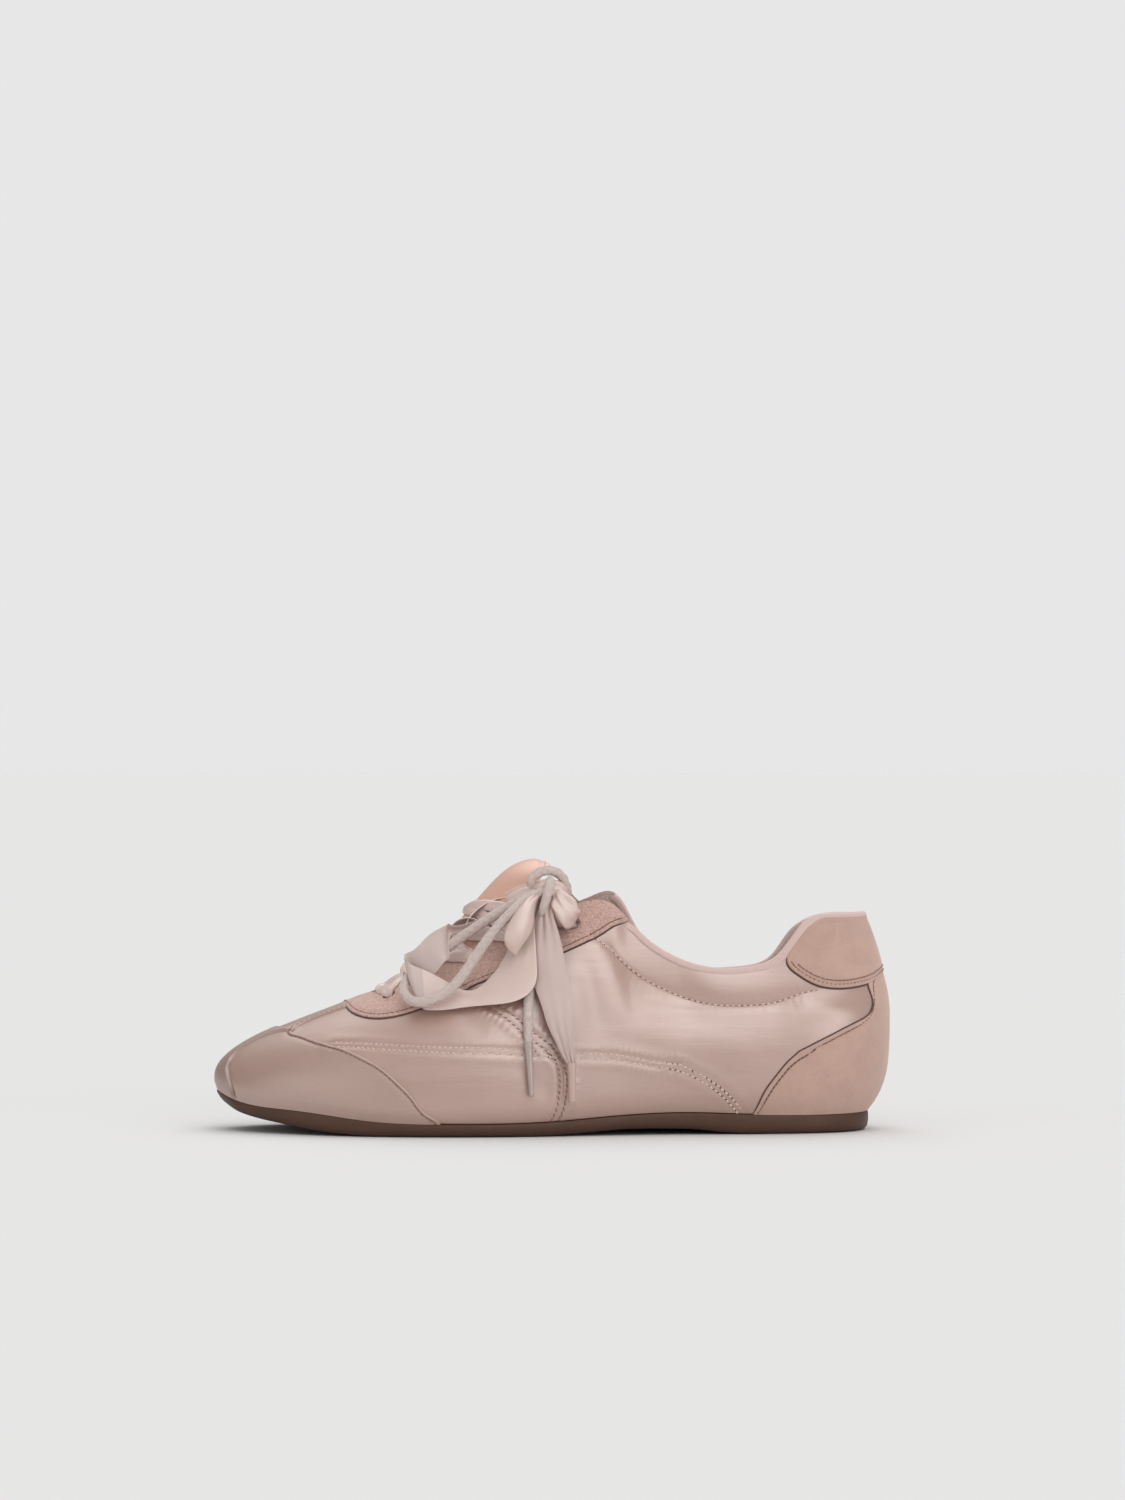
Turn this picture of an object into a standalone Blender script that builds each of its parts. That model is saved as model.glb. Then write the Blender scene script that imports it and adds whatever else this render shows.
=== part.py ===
"""Low lace-up ballet sneaker, left foot, about EU 38.

Lengths in the tables are millimetres.  The toe points to -X, the heel to +X,
the lateral (outer) side of the foot is -Y and the medial side is +Y.
Z = 0 is the plane that the sole stands on.
"""
import bpy
import bmesh
import math
import numpy as np
from mathutils import Vector
from mathutils.bvhtree import BVHTree

MM = 0.001

# ------------------------------------------------------------------ named sizes
OVERALL_LENGTH = 256.0      # tip of the sole's lip to the heel's bulge
SOLE_LENGTH = 247.7         # outsole alone
TOE_X = -128.0              # X of the toe tip
WALL = 1.8                  # suede or satin, foam and lining together
GAP = 0.3                   # clearance between pieces that touch
SOLE_PROUD = 0.5            # how far the rubber stands out past the feather line
EYELET_RADIUS = 2.9
TONGUE_THICK = 3.0
RIBBON_WIDTH = 17.0         # satin ribbon lying flat
RIBBON_BAR_WIDTH = 9.0      # the same ribbon bunched under tension
RIBBON_THICK = 1.2
CORD_DIAMETER = 4.0         # round braided lace
CENTRING = (0.325, 1.234)   # moves the tables' X and Y to the middle of the shoe's box

# ------------------------------------------------------------------ short tables
# Feather line (where upper meets sole) in plan: distance from the toe tip, then
# Y on the outer and on the inner side of the foot.
OUTLINE_COLUMNS = ("from_toe", "lateral_y", "medial_y")
OUTLINE = [
    (0.0, 8.0, 8.0),
    (3.0, -2.6, 17.0),
    (9.5, -11.6, 24.0),
    (20.0, -20.8, 30.6),
    (35.0, -30.0, 36.2),
    (55.0, -38.0, 39.8),
    (75.0, -41.9, 40.4),
    (95.0, -43.2, 37.6),
    (115.0, -41.6, 32.6),
    (135.0, -37.9, 28.3),
    (155.0, -34.0, 25.9),
    (175.0, -31.6, 25.9),
    (195.0, -30.4, 27.3),
    (215.0, -28.6, 27.6),
    (230.0, -24.6, 24.6),
    (240.0, -18.0, 18.6),
    (245.8, -9.4, 10.2),
    (247.7, 0.4, 0.4),
]

# Heights of the sole along the foot: its underside and its upper edge.
LEVEL_COLUMNS = ("from_toe", "under_z", "feather_z")
LEVELS = [
    (0.0, 12.0, 15.4),
    (3.5, 9.7, 13.6),
    (8.0, 7.3, 11.9),
    (25.0, 3.7, 9.7),
    (43.0, 1.0, 7.9),
    (60.0, 0.0, 5.9),
    (80.0, 0.0, 5.1),
    (115.0, 0.0, 5.2),
    (125.0, 0.1, 5.6),
    (141.0, 1.2, 6.7),
    (158.0, 2.2, 7.9),
    (177.0, 2.0, 8.4),
    (194.0, 0.4, 7.9),
    (203.0, 0.0, 7.6),
    (225.0, 0.0, 7.3),
    (247.7, 0.0, 7.5),
]
LEVEL_FOREFOOT = (60.0, 115.0)      # level stretches, from the toe tip
LEVEL_HEEL = (203.0, 243.0)

# Top line: front of the throat, along the eyestay, its rear peak, the dip of the
# collar, the heel tab.  foot = share of the feather line's length at which the
# section of this row starts (0 toe tip, 1 heel).
TOPLINE_COLUMNS = ("foot", "x", "medial_dx", "lateral_y", "medial_y", "lateral_z", "medial_z")
TOPLINE = [
    (0.000, -70.0, 0.0, 1.0, 1.0, 51.6, 51.6),
    (0.050, -69.6, 0.0, -2.6, 4.4, 51.7, 51.7),
    (0.100, -68.3, 0.0, -5.6, 7.4, 52.0, 52.0),
    (0.155, -65.9, 0.0, -8.2, 9.8, 52.8, 52.8),
    (0.210, -62.0, 0.0, -10.2, 11.8, 54.6, 54.6),
    (0.275, -55.0, 0.0, -12.3, 13.8, 58.2, 58.2),
    (0.345, -44.5, 0.0, -14.3, 15.6, 63.6, 63.6),
    (0.405, -32.0, 0.0, -16.0, 17.2, 69.4, 69.4),
    (0.465, -17.5, 1.0, -17.6, 18.6, 75.9, 75.6),
    (0.522, -2.0, 3.0, -19.0, 19.8, 82.2, 82.2),
    (0.570, 11.0, 4.6, -20.2, 20.8, 86.8, 87.8),
    (0.602, 20.0, 3.4, -21.2, 21.8, 86.7, 89.4),
    (0.626, 26.6, 1.8, -22.6, 23.2, 81.2, 83.6),
    (0.648, 33.0, 0.4, -24.2, 24.8, 74.2, 74.4),
    (0.678, 42.5, 0.0, -25.9, 26.2, 67.5, 65.8),
    (0.722, 56.0, 0.0, -27.3, 27.4, 62.6, 60.4),
    (0.774, 71.0, 0.3, -27.0, 27.0, 62.1, 60.2),
    (0.820, 83.5, 1.4, -25.4, 25.4, 66.4, 64.4),
    (0.850, 90.6, 1.2, -23.8, 23.8, 74.8, 73.7),
    (0.876, 96.2, 0.8, -21.6, 21.6, 80.6, 78.2),
    (0.915, 105.0, 0.3, -16.6, 16.6, 82.1, 81.2),
    (0.958, 114.6, 0.0, -8.4, 8.4, 82.0, 81.8),
    (1.000, 118.6, 0.0, 0.3, 0.3, 82.3, 82.3),
]

# Shape of the wall in section: how far and how high it bulges over the feather
# line, then how it rises to the top line: rise and reach are the handle lengths
# as shares of the distance bulge-to-top, lean is the slope at the top line.
WALL_COLUMNS = ("foot", "bulge_lateral", "bulge_medial", "bulge_up", "kick", "rise", "lean", "reach")
WALLS = [
    (0.00, 0.4, 0.4, 4.6, 75.0, 0.160, 20.0, 0.52),
    (0.06, 0.9, 0.9, 5.2, 70.0, 0.170, 21.0, 0.50),
    (0.13, 1.5, 1.6, 6.4, 62.0, 0.215, 24.0, 0.44),
    (0.22, 2.0, 2.2, 8.0, 56.0, 0.290, 29.0, 0.38),
    (0.32, 2.3, 2.8, 9.5, 52.0, 0.350, 34.0, 0.34),
    (0.44, 2.5, 3.0, 11.5, 52.0, 0.400, 44.0, 0.32),
    (0.56, 2.6, 2.6, 14.0, 55.0, 0.400, 60.0, 0.30),
    (0.66, 3.0, 2.9, 17.0, 56.0, 0.380, 74.0, 0.30),
    (0.76, 3.8, 3.6, 20.0, 56.0, 0.360, 80.0, 0.30),
    (0.86, 4.9, 4.7, 25.0, 55.0, 0.330, 80.0, 0.30),
    (0.94, 6.9, 6.9, 32.0, 52.0, 0.310, 77.0, 0.34),
    (1.00, 8.3, 8.3, 36.0, 48.0, 0.300, 74.0, 0.36),
]

# Tongue: the ridge of its outer face, and in section a round arc of this radius
# and half angle.  It starts under the vamp and stands up out of the throat.
TONGUE_COLUMNS = ("ridge_x", "ridge_z", "radius", "half_angle")
TONGUE = [
    (-86.0, 40.0, 26.0, 24.0),
    (-78.0, 43.6, 25.0, 30.0),
    (-68.0, 48.2, 21.0, 44.0),
    (-58.5, 54.2, 18.5, 58.0),
    (-50.0, 62.0, 17.0, 70.0),
    (-42.0, 71.2, 16.4, 78.0),
    (-34.5, 80.6, 16.0, 81.0),
    (-28.5, 88.0, 16.1, 78.0),
    (-22.0, 95.2, 16.9, 71.0),
    (-15.5, 100.3, 18.8, 61.0),
    (-9.0, 102.6, 21.0, 50.0),
    (-4.5, 102.6, 22.0, 34.0),
    (-2.2, 102.1, 22.0, 22.0),
]


# ------------------------------------------------------------------ small maths

# The bow lies on the lateral side. Routes are given in the shoe's own millimetres,
# from the knot outwards; each is read from a smooth curve through its rows.
KNOT_CENTRE = (-3.4, -26.0, 92.4)
KNOT_RADII = (5.2, 4.4, 4.8)

CORD_ROUTE_COLUMNS = ("x", "y", "z")
CORD_LOOP = [
    (-14.6, -29.0, 87.6),
    (-21.5, -28.8, 83.6),
    (-29.5, -27.6, 78.4),
    (-40.6, -25.4, 70.6),
    (-49.6, -24.6, 64.4),
    (-55.6, -27.0, 59.2),
    (-57.4, -32.0, 54.2),
    (-54.0, -37.0, 50.6),
    (-47.0, -40.0, 51.2),
    (-39.6, -40.4, 55.8),
    (-33.6, -39.0, 62.8),
    (-27.6, -37.4, 71.6),
    (-21.6, -36.0, 79.0),
]
CORD_TAIL = [
    (-5.4, -25.4, 86.0),
    (-6.4, -26.2, 82.2),
    (-7.4, -27.8, 76.0),
    (-8.8, -31.5, 66.0),
    (-10.2, -37.0, 56.0),
    (-11.0, -41.8, 45.0),
    (-10.9, -44.9, 34.2),
]
CORD_AGLET_TIP = (-9.7, -46.6, 15.2)

# the ribbon's two edges, upper and lower, at each station
RIBBON_ROUTE_COLUMNS = ("upper_x", "upper_y", "upper_z", "lower_x", "lower_y", "lower_z")
RIBBON_LOOP = [
    (-13.2, -28.2, 84.0, -9.0, -32.2, 82.2),
    (-15.4, -29.4, 77.6, -9.0, -35.4, 74.5),
    (-18.2, -30.4, 69.4, -10.0, -38.6, 66.0),
    (-22.4, -31.8, 63.4, -11.6, -41.2, 58.3),
    (-27.7, -33.0, 59.4, -16.0, -42.2, 52.3),
    (-33.3, -33.2, 57.5, -25.1, -41.0, 50.0),
    (-39.3, -33.0, 57.5, -35.2, -38.6, 48.6),
    (-44.9, -32.4, 59.6, -43.0, -36.8, 46.6),
    (-50.6, -31.4, 61.0, -49.6, -35.6, 46.6),
]
RIBBON_TAIL = [
    (-4.8, -30.6, 86.4, 0.4, -31.2, 86.2),
    (-8.0, -31.0, 80.8, 1.4, -32.2, 80.4),
    (-9.0, -33.8, 72.8, 2.4, -34.4, 72.4),
    (-9.2, -37.0, 64.0, 3.6, -37.4, 63.6),
    (-8.2, -39.8, 56.0, 4.8, -40.4, 55.6),
    (-5.6, -42.8, 49.2, 5.5, -42.6, 48.6),
    (-3.6, -44.6, 42.1, 5.8, -43.8, 41.6),
    (-0.8, -45.4, 35.6, 6.1, -44.8, 35.2),
    (3.2, -45.6, 28.0, 6.4, -45.4, 27.9),
]
RIBBON_AGLET_TIP = (5.5, -45.8, 12.9)


def column(table, columns, name):
    return np.array([row[columns.index(name)] for row in table], dtype=float)


def open_spline(knots, values):
    """Natural cubic through (knots, values); values may have several columns."""
    k = np.asarray(knots, float)
    v = np.asarray(values, float)
    n = len(k)
    h = np.diff(k)
    a = np.zeros((n, n))
    b = np.zeros((n,) + v.shape[1:])
    a[0, 0] = a[-1, -1] = 1.0
    for i in range(1, n - 1):
        a[i, i - 1], a[i, i], a[i, i + 1] = h[i - 1], 2 * (h[i - 1] + h[i]), h[i]
        b[i] = 6 * ((v[i + 1] - v[i]) / h[i] - (v[i] - v[i - 1]) / h[i - 1])
    m = np.linalg.solve(a, b)
    return _cubic(k, v, m)


def loop_spline(knots, values):
    """Periodic cubic; knots has one more entry than values."""
    k = np.asarray(knots, float)
    v = np.asarray(values, float)
    n = len(v)
    h = np.diff(k)
    a = np.zeros((n, n))
    b = np.zeros_like(v)
    for i in range(n):
        p, q = (i - 1) % n, (i + 1) % n
        a[i, p] += h[p]
        a[i, i] += 2 * (h[p] + h[i])
        a[i, q] += h[i]
        b[i] = 6 * ((v[q] - v[i]) / h[i] - (v[i] - v[p]) / h[p])
    m = np.linalg.solve(a, b)
    vv = np.concatenate([v, v[:1]])
    mm = np.concatenate([m, m[:1]])
    f = _cubic(k, vv, mm)
    period = k[-1] - k[0]
    return lambda u: f(k[0] + (u - k[0]) % period)


def _cubic(k, v, m):
    def f(x):
        i = int(min(max(np.searchsorted(k, x) - 1, 0), len(k) - 2))
        h = k[i + 1] - k[i]
        s, t = (k[i + 1] - x) / h, (x - k[i]) / h
        return (s * v[i] + t * v[i + 1]
                + ((s ** 3 - s) * m[i] + (t ** 3 - t) * m[i + 1]) * h * h / 6.0)
    return f


def pchip(knots, values):
    """Monotone cubic through (knots, values), for heights with level stretches."""
    k = np.asarray(knots, float)
    v = np.asarray(values, float)
    h = np.diff(k)
    d = np.diff(v) / h
    g = np.zeros(len(k))
    for i in range(1, len(k) - 1):
        if d[i - 1] * d[i] > 0:
            w1, w2 = 2 * h[i] + h[i - 1], h[i] + 2 * h[i - 1]
            g[i] = (w1 + w2) / (w1 / d[i - 1] + w2 / d[i])
    g[0], g[-1] = d[0], d[-1]

    def f(x):
        x = min(max(x, k[0]), k[-1])
        i = int(min(max(np.searchsorted(k, x) - 1, 0), len(k) - 2))
        t = (x - k[i]) / h[i]
        return ((1 + 2 * t) * (1 - t) ** 2 * v[i] + t * (1 - t) ** 2 * h[i] * g[i]
                + t * t * (3 - 2 * t) * v[i + 1] + t * t * (t - 1) * h[i] * g[i + 1])
    return f


def unit(v):
    return v / max(np.linalg.norm(v), 1e-9)


# ------------------------------------------------------------------ the last
under_z = pchip(column(LEVELS, LEVEL_COLUMNS, "from_toe"), column(LEVELS, LEVEL_COLUMNS, "under_z"))
feather_z = open_spline(column(LEVELS, LEVEL_COLUMNS, "from_toe"), column(LEVELS, LEVEL_COLUMNS, "feather_z"))


def outline_loop():
    """Feather line in plan as one closed loop, toe -> lateral -> heel -> medial."""
    fx = column(OUTLINE, OUTLINE_COLUMNS, "from_toe")
    la = column(OUTLINE, OUTLINE_COLUMNS, "lateral_y")
    me = column(OUTLINE, OUTLINE_COLUMNS, "medial_y")
    pts = np.concatenate([np.stack([fx, la], 1), np.stack([fx, me], 1)[1:-1][::-1]])
    step = np.linalg.norm(np.roll(pts, -1, 0) - pts, axis=1)
    knots = np.concatenate([[0.0], np.cumsum(step)])
    curve = loop_spline(knots, pts)
    heel = knots[len(fx) - 1]
    total = knots[-1]

    def at(side, share):
        """Plan point at a share of the side's length; side -1 lateral, +1 medial."""
        return curve(heel * share) if side < 0 else curve(total - (total - heel) * share)
    return at


outline_at = outline_loop()


class Last:
    """Surface of the upper: loop position u (once round the shoe) and height t."""

    def __init__(self):
        rows = []
        walls = {}
        for name in WALL_COLUMNS[1:]:
            walls[name] = open_spline(column(WALLS, WALL_COLUMNS, "foot"), column(WALLS, WALL_COLUMNS, name))
        n = len(TOPLINE)
        order = [(-1, i) for i in range(n)] + [(1, i) for i in range(n - 2, 0, -1)]
        for side, i in order:
            foot, x, dx, ly, my, lz, mz = TOPLINE[i]
            p = outline_at(side, foot)
            bulge = walls["bulge_lateral" if side < 0 else "bulge_medial"](foot)
            rows.append([p[0] + TOE_X, p[1], feather_z(min(max(p[0], 0.0), SOLE_LENGTH)),
                         x if side < 0 else x + dx, ly if side < 0 else my, lz if side < 0 else mz,
                         bulge] + [walls[c](foot) for c in WALL_COLUMNS[3:]])
        rows = np.array(rows)
        nxt = np.roll(rows, -1, 0)
        step = 0.5 * (np.linalg.norm(nxt[:, 0:2] - rows[:, 0:2], axis=1)
                      + np.linalg.norm(nxt[:, 3:6] - rows[:, 3:6], axis=1))
        self.knots = np.concatenate([[0.0], np.cumsum(step)])
        self.curve = loop_spline(self.knots, rows)
        self.period = self.knots[-1]
        self.heel = self.knots[n - 1]
        self.count = n

    def u_of(self, side, row):
        """Loop position of a (fractional) row of the top line."""
        k = self.knots
        if side < 0:
            return float(np.interp(row, range(self.count), k[:self.count]))
        back = [self.period - 0.0] + [k[2 * (self.count - 1) - i] for i in range(1, self.count)]
        return float(np.interp(row, range(self.count), back))

    def _normal_in_plan(self, u, a, b):
        """Outward unit normal in plan; the loop runs toe, lateral, heel, medial."""
        e = 0.6
        d = self.curve(u + e) - self.curve(u - e)
        v = unit(np.array([d[a], d[b]]))
        return np.array([v[1], -v[0]])

    def rail(self, u):
        """Feather point, bulge point, top point and the handles between them."""
        c = self.curve(u)
        foot, top = c[0:3], c[3:6]
        bulge, up, kick, rise, lean, reach = c[6:12]
        out_f = self._normal_in_plan(u, 0, 1)
        out_t = self._normal_in_plan(u, 3, 4)
        b = foot + np.array([out_f[0] * bulge, out_f[1] * bulge, up])
        k = math.radians(kick)
        f_dir = np.array([out_f[0] * math.cos(k), out_f[1] * math.cos(k), math.sin(k)])
        l = math.radians(lean)
        t_dir = np.array([-out_t[0] * math.cos(l), -out_t[1] * math.cos(l), math.sin(l)])
        span = np.linalg.norm(top - b)
        return foot, f_dir, b, top, t_dir, up, rise * span, reach * span

    SPLIT = 0.16            # share of t that the bulge below takes

    def at(self, u, t):
        foot, f_dir, b, top, t_dir, up, rise, reach = self.rail(u)
        z = np.array([0.0, 0.0, 1.0])
        if t < self.SPLIT:
            s = t / self.SPLIT
            p = (foot, foot + f_dir * up * 0.38, b - z * up * 0.42, b)
        else:
            s = (t - self.SPLIT) / (1 - self.SPLIT)
            p = (b, b + z * rise, top - t_dir * reach, top)
        q = 1 - s
        return q ** 3 * p[0] + 3 * q * q * s * p[1] + 3 * q * s * s * p[2] + s ** 3 * p[3]

    def normal(self, u, t):
        e = 0.4
        du = self.at(u + e, t) - self.at(u - e, t)
        dt = self.at(u, min(t + 0.004, 1.0)) - self.at(u, max(t - 0.004, 0.0))
        return unit(np.cross(du, dt))


last = Last()


# ------------------------------------------------------------------ Blender set-up
for old in list(bpy.data.objects):
    bpy.data.objects.remove(old, do_unlink=True)
parts = bpy.data.collections.new("lace_up_sneaker")
cutters = bpy.data.collections.new("cutters")
bpy.context.scene.collection.children.link(parts)
bpy.context.scene.collection.children.link(cutters)


def material(name, colour, rough, metallic=0.0):
    m = bpy.data.materials.new(name)
    m.use_nodes = True
    b = m.node_tree.nodes["Principled BSDF"]
    b.inputs["Base Color"].default_value = (*colour, 1.0)
    b.inputs["Roughness"].default_value = rough
    b.inputs["Metallic"].default_value = metallic
    return m


SATIN = material("satin", (0.52, 0.35, 0.31), 0.38)
LINING = material("insole_knit", (0.50, 0.38, 0.34), 0.85)
RUBBER = material("brown_rubber", (0.13, 0.07, 0.05), 0.55)
TONGUE_SATIN = material("tongue_satin", (0.58, 0.34, 0.27), 0.42)
RIBBON = material("ribbon", (0.72, 0.55, 0.51), 0.35)
BRAID = material("braided_lace", (0.55, 0.44, 0.40), 0.8)
AGLET = material("aglet", (0.45, 0.40, 0.38), 0.3)
RIBBON_AGLET = material("ribbon_aglet", (0.60, 0.42, 0.38), 0.4)


def add_object(name, bm, mat, smooth=True, collection=None):
    bmesh.ops.recalc_face_normals(bm, faces=bm.faces)
    mesh = bpy.data.meshes.new(name)
    bm.to_mesh(mesh)
    bm.free()
    ob = bpy.data.objects.new(name, mesh)
    (collection or parts).objects.link(ob)
    if mat:
        mesh.materials.append(mat)
    if smooth:
        mesh.shade_smooth()
        mesh.set_sharp_from_angle(angle=math.radians(42))
    return ob


def vec(p):
    return Vector(((float(p[0]) + CENTRING[0]) * MM, (float(p[1]) + CENTRING[1]) * MM, float(p[2]) * MM))


def bridge(bm, ring_a, ring_b, closed=True):
    n = len(ring_a)
    for i in range(n if closed else n - 1):
        j = (i + 1) % n
        bm.faces.new((ring_a[i], ring_a[j], ring_b[j], ring_b[i]))


# ------------------------------------------------------------------ sampling the loop
def side_rows(step):
    """Fractional rows of one side, finer where the outline turns."""
    n = last.count - 1
    return [i / step for i in range(0, n * step + 1)]


def loop_positions(step=2):
    rows = side_rows(step)
    lat = [last.u_of(-1, r) for r in rows]
    med = [last.u_of(1, r) for r in rows]
    return lat, med[1:-1][::-1]


# ------------------------------------------------------------------ upper
def build_upper():
    lat, med = loop_positions(2)
    us = lat + med
    split = last.SPLIT
    levels = [split * k / 4.0 for k in range(5)] + [split + (1 - split) * k / 9.0 for k in range(1, 10)]
    bm = bmesh.new()
    rings = [[bm.verts.new(vec(last.at(u, t))) for u in us] for t in levels]
    for a, b in zip(rings, rings[1:]):
        bridge(bm, a, b)
    ob = add_object("upper", bm, SATIN)
    shell = ob.modifiers.new("wall", 'SOLIDIFY')
    shell.thickness = WALL * MM
    shell.offset = -1.0
    shell.use_even_offset = True
    shell.use_rim = True
    return ob


def eyelet_place(side, k):
    """Centre and outward normal of eyelet k (0 at the toe end)."""
    row, inset = EYELETS[k]
    u = last.u_of(side, row)
    p = last.at(u, 1.0)
    t = 1.0
    while np.linalg.norm(last.at(u, t) - p) < inset and t > 0.5:
        t -= 0.002
    return last.at(u, t), last.normal(u, t)


# each pair of eyelets: its row of the top line and its distance from the edge
EYELET_COLUMNS = ("row", "inset")
EYELETS = [(4.30, 7.6), (5.80, 7.2), (7.12, 6.8), (8.40, 7.2), (9.70, 8.0)]


def punch_eyelets(upper):
    for side, tag in ((-1, "lateral"), (1, "medial")):
        for k in range(len(EYELETS)):
            p, n = eyelet_place(side, k)
            bm = bmesh.new()
            bmesh.ops.create_cone(bm, cap_ends=True, segments=12, radius1=EYELET_RADIUS * MM,
                                  radius2=EYELET_RADIUS * MM, depth=9.0 * MM)
            rot = Vector((0, 0, 1)).rotation_difference(Vector(n)).to_matrix()
            bmesh.ops.rotate(bm, verts=bm.verts, cent=(0, 0, 0), matrix=rot)
            bmesh.ops.translate(bm, verts=bm.verts, vec=vec(p))
            cutter = add_object("punch_%s_%d" % (tag, k + 1), bm, None, False, cutters)
            cutter.hide_render = True
            cutter.display_type = 'WIRE'
            cut = upper.modifiers.new(cutter.name, 'BOOLEAN')
            cut.operation = 'DIFFERENCE'
            cut.object = cutter


# ------------------------------------------------------------------ sole and insole
def ladder(bm, lat_ring, med_ring, rungs, height=None):
    """Closes a long loop with rungs from side to side.

    lat_ring and med_ring run toe to heel and share their end vertices.
    """
    n = len(lat_ring)
    previous = [lat_ring[0]]
    for i in range(1, n):
        if i == n - 1:
            current = [lat_ring[-1]]
        else:
            a, b = lat_ring[i].co, med_ring[i].co
            current = [lat_ring[i]]
            for k in range(1, rungs):
                p = a.lerp(b, k / rungs)
                if height:
                    p = height(p, k / rungs)
                current.append(bm.verts.new(p))
            current.append(med_ring[i])
        if len(previous) == 1:
            for k in range(len(current) - 1):
                bm.faces.new((previous[0], current[k], current[k + 1]))
        elif len(current) == 1:
            for k in range(len(previous) - 1):
                bm.faces.new((previous[k], current[0], previous[k + 1]))
        else:
            for k in range(len(current) - 1):
                bm.faces.new((previous[k], current[k], current[k + 1], previous[k + 1]))
        previous = current


def plan_ring(offset):
    """Feather loop moved outwards in plan by offset, lateral then medial, toe to heel."""
    rows = side_rows(1)
    both = []
    for side in (-1, 1):
        ring = []
        for r in rows:
            u = last.u_of(side, r)
            c = last.curve(u)
            n = last._normal_in_plan(u, 0, 1)
            ring.append((c[0] + n[0] * offset, c[1] + n[1] * offset))
        both.append(ring)
    # shared toe and heel points
    for end in (0, -1):
        mid = tuple((a + b) / 2 for a, b in zip(both[0][end], both[1][end]))
        both[0][end] = both[1][end] = mid
    return both


def from_toe(x):
    return min(max(x - TOE_X, 0.0), SOLE_LENGTH)


def add_ring(bm, ring, z_of):
    lat = [bm.verts.new(vec((x, y, z_of(x, y)))) for x, y in ring[0]]
    med = [lat[0]] + [bm.verts.new(vec((x, y, z_of(x, y)))) for x, y in ring[1][1:-1]] + [lat[-1]]
    return lat, med


def loop_of(pair):
    return pair[0] + pair[1][1:-1][::-1]


# edge of the rubber, from its top lip round to the tread: how far out of the
# feather line, share of the edge's height, and rise above the tread
SOLE_EDGE_COLUMNS = ("out", "share", "above_tread")
SOLE_EDGE = [
    (SOLE_PROUD - 0.4, 1.00, 0.0),
    (SOLE_PROUD, 0.88, 0.0),
    (SOLE_PROUD + 0.15, 0.50, 0.0),
    (SOLE_PROUD - 0.5, 0.00, 1.5),
    (SOLE_PROUD - 1.5, 0.00, 0.4),
    (SOLE_PROUD - 3.0, 0.00, 0.0),
]


def build_outsole():
    bm = bmesh.new()
    loops = []
    for out, share, above in SOLE_EDGE:
        def z_of(x, y, share=share, above=above):
            s = from_toe(x)
            low, high = under_z(s), feather_z(s) - GAP
            if share > 0:
                return low + 1.5 + (high - low - 1.5) * share
            return low + above
        loops.append(add_ring(bm, plan_ring(out), z_of))
    for a, b in zip(loops, loops[1:]):
        bridge(bm, loop_of(a), loop_of(b))
    ladder(bm, loops[0][0], loops[0][1], 4)
    ladder(bm, loops[-1][0], loops[-1][1], 4)
    return add_object("outsole", bm, RUBBER)


INSOLE_CLEAR = 2.6          # inside the feather line at the bottom
INSOLE_THICK_COLUMNS = ("from_toe", "thick")
INSOLE_THICK = [(0.0, 2.5), (40.0, 3.5), (110.0, 4.5), (170.0, 6.5), (247.7, 8.0)]
insole_thick = pchip(column(INSOLE_THICK, INSOLE_THICK_COLUMNS, "from_toe"),
                     column(INSOLE_THICK, INSOLE_THICK_COLUMNS, "thick"))


def build_insole():
    bm = bmesh.new()
    loops = []
    for inset, share in ((INSOLE_CLEAR + 1.2, 0.0), (INSOLE_CLEAR + 0.2, 0.18), (INSOLE_CLEAR, 0.75),
                         (INSOLE_CLEAR + 1.0, 1.0)):
        def z_of(x, y, share=share):
            s = from_toe(x)
            return feather_z(s) + 0.45 + insole_thick(s) * share
        loops.append(add_ring(bm, plan_ring(-inset), z_of))
    for a, b in zip(loops, loops[1:]):
        bridge(bm, loop_of(a), loop_of(b))
    ladder(bm, loops[0][0], loops[0][1], 3)

    def dish(p, k):
        return p - Vector((0, 0, 1.1 * MM * math.sin(math.pi * k)))
    ladder(bm, loops[-1][0], loops[-1][1], 4, dish)
    return add_object("insole", bm, LINING)


# ------------------------------------------------------------------ tongue
def tongue_frame(shares=None):
    x = column(TONGUE, TONGUE_COLUMNS, "ridge_x")
    z = column(TONGUE, TONGUE_COLUMNS, "ridge_z")
    step = np.concatenate([[0.0], np.cumsum(np.hypot(np.diff(x), np.diff(z)))])
    curve = open_spline(step, np.stack([x, z, column(TONGUE, TONGUE_COLUMNS, "radius"),
                                        column(TONGUE, TONGUE_COLUMNS, "half_angle")], 1))
    return curve, step[-1]


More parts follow.
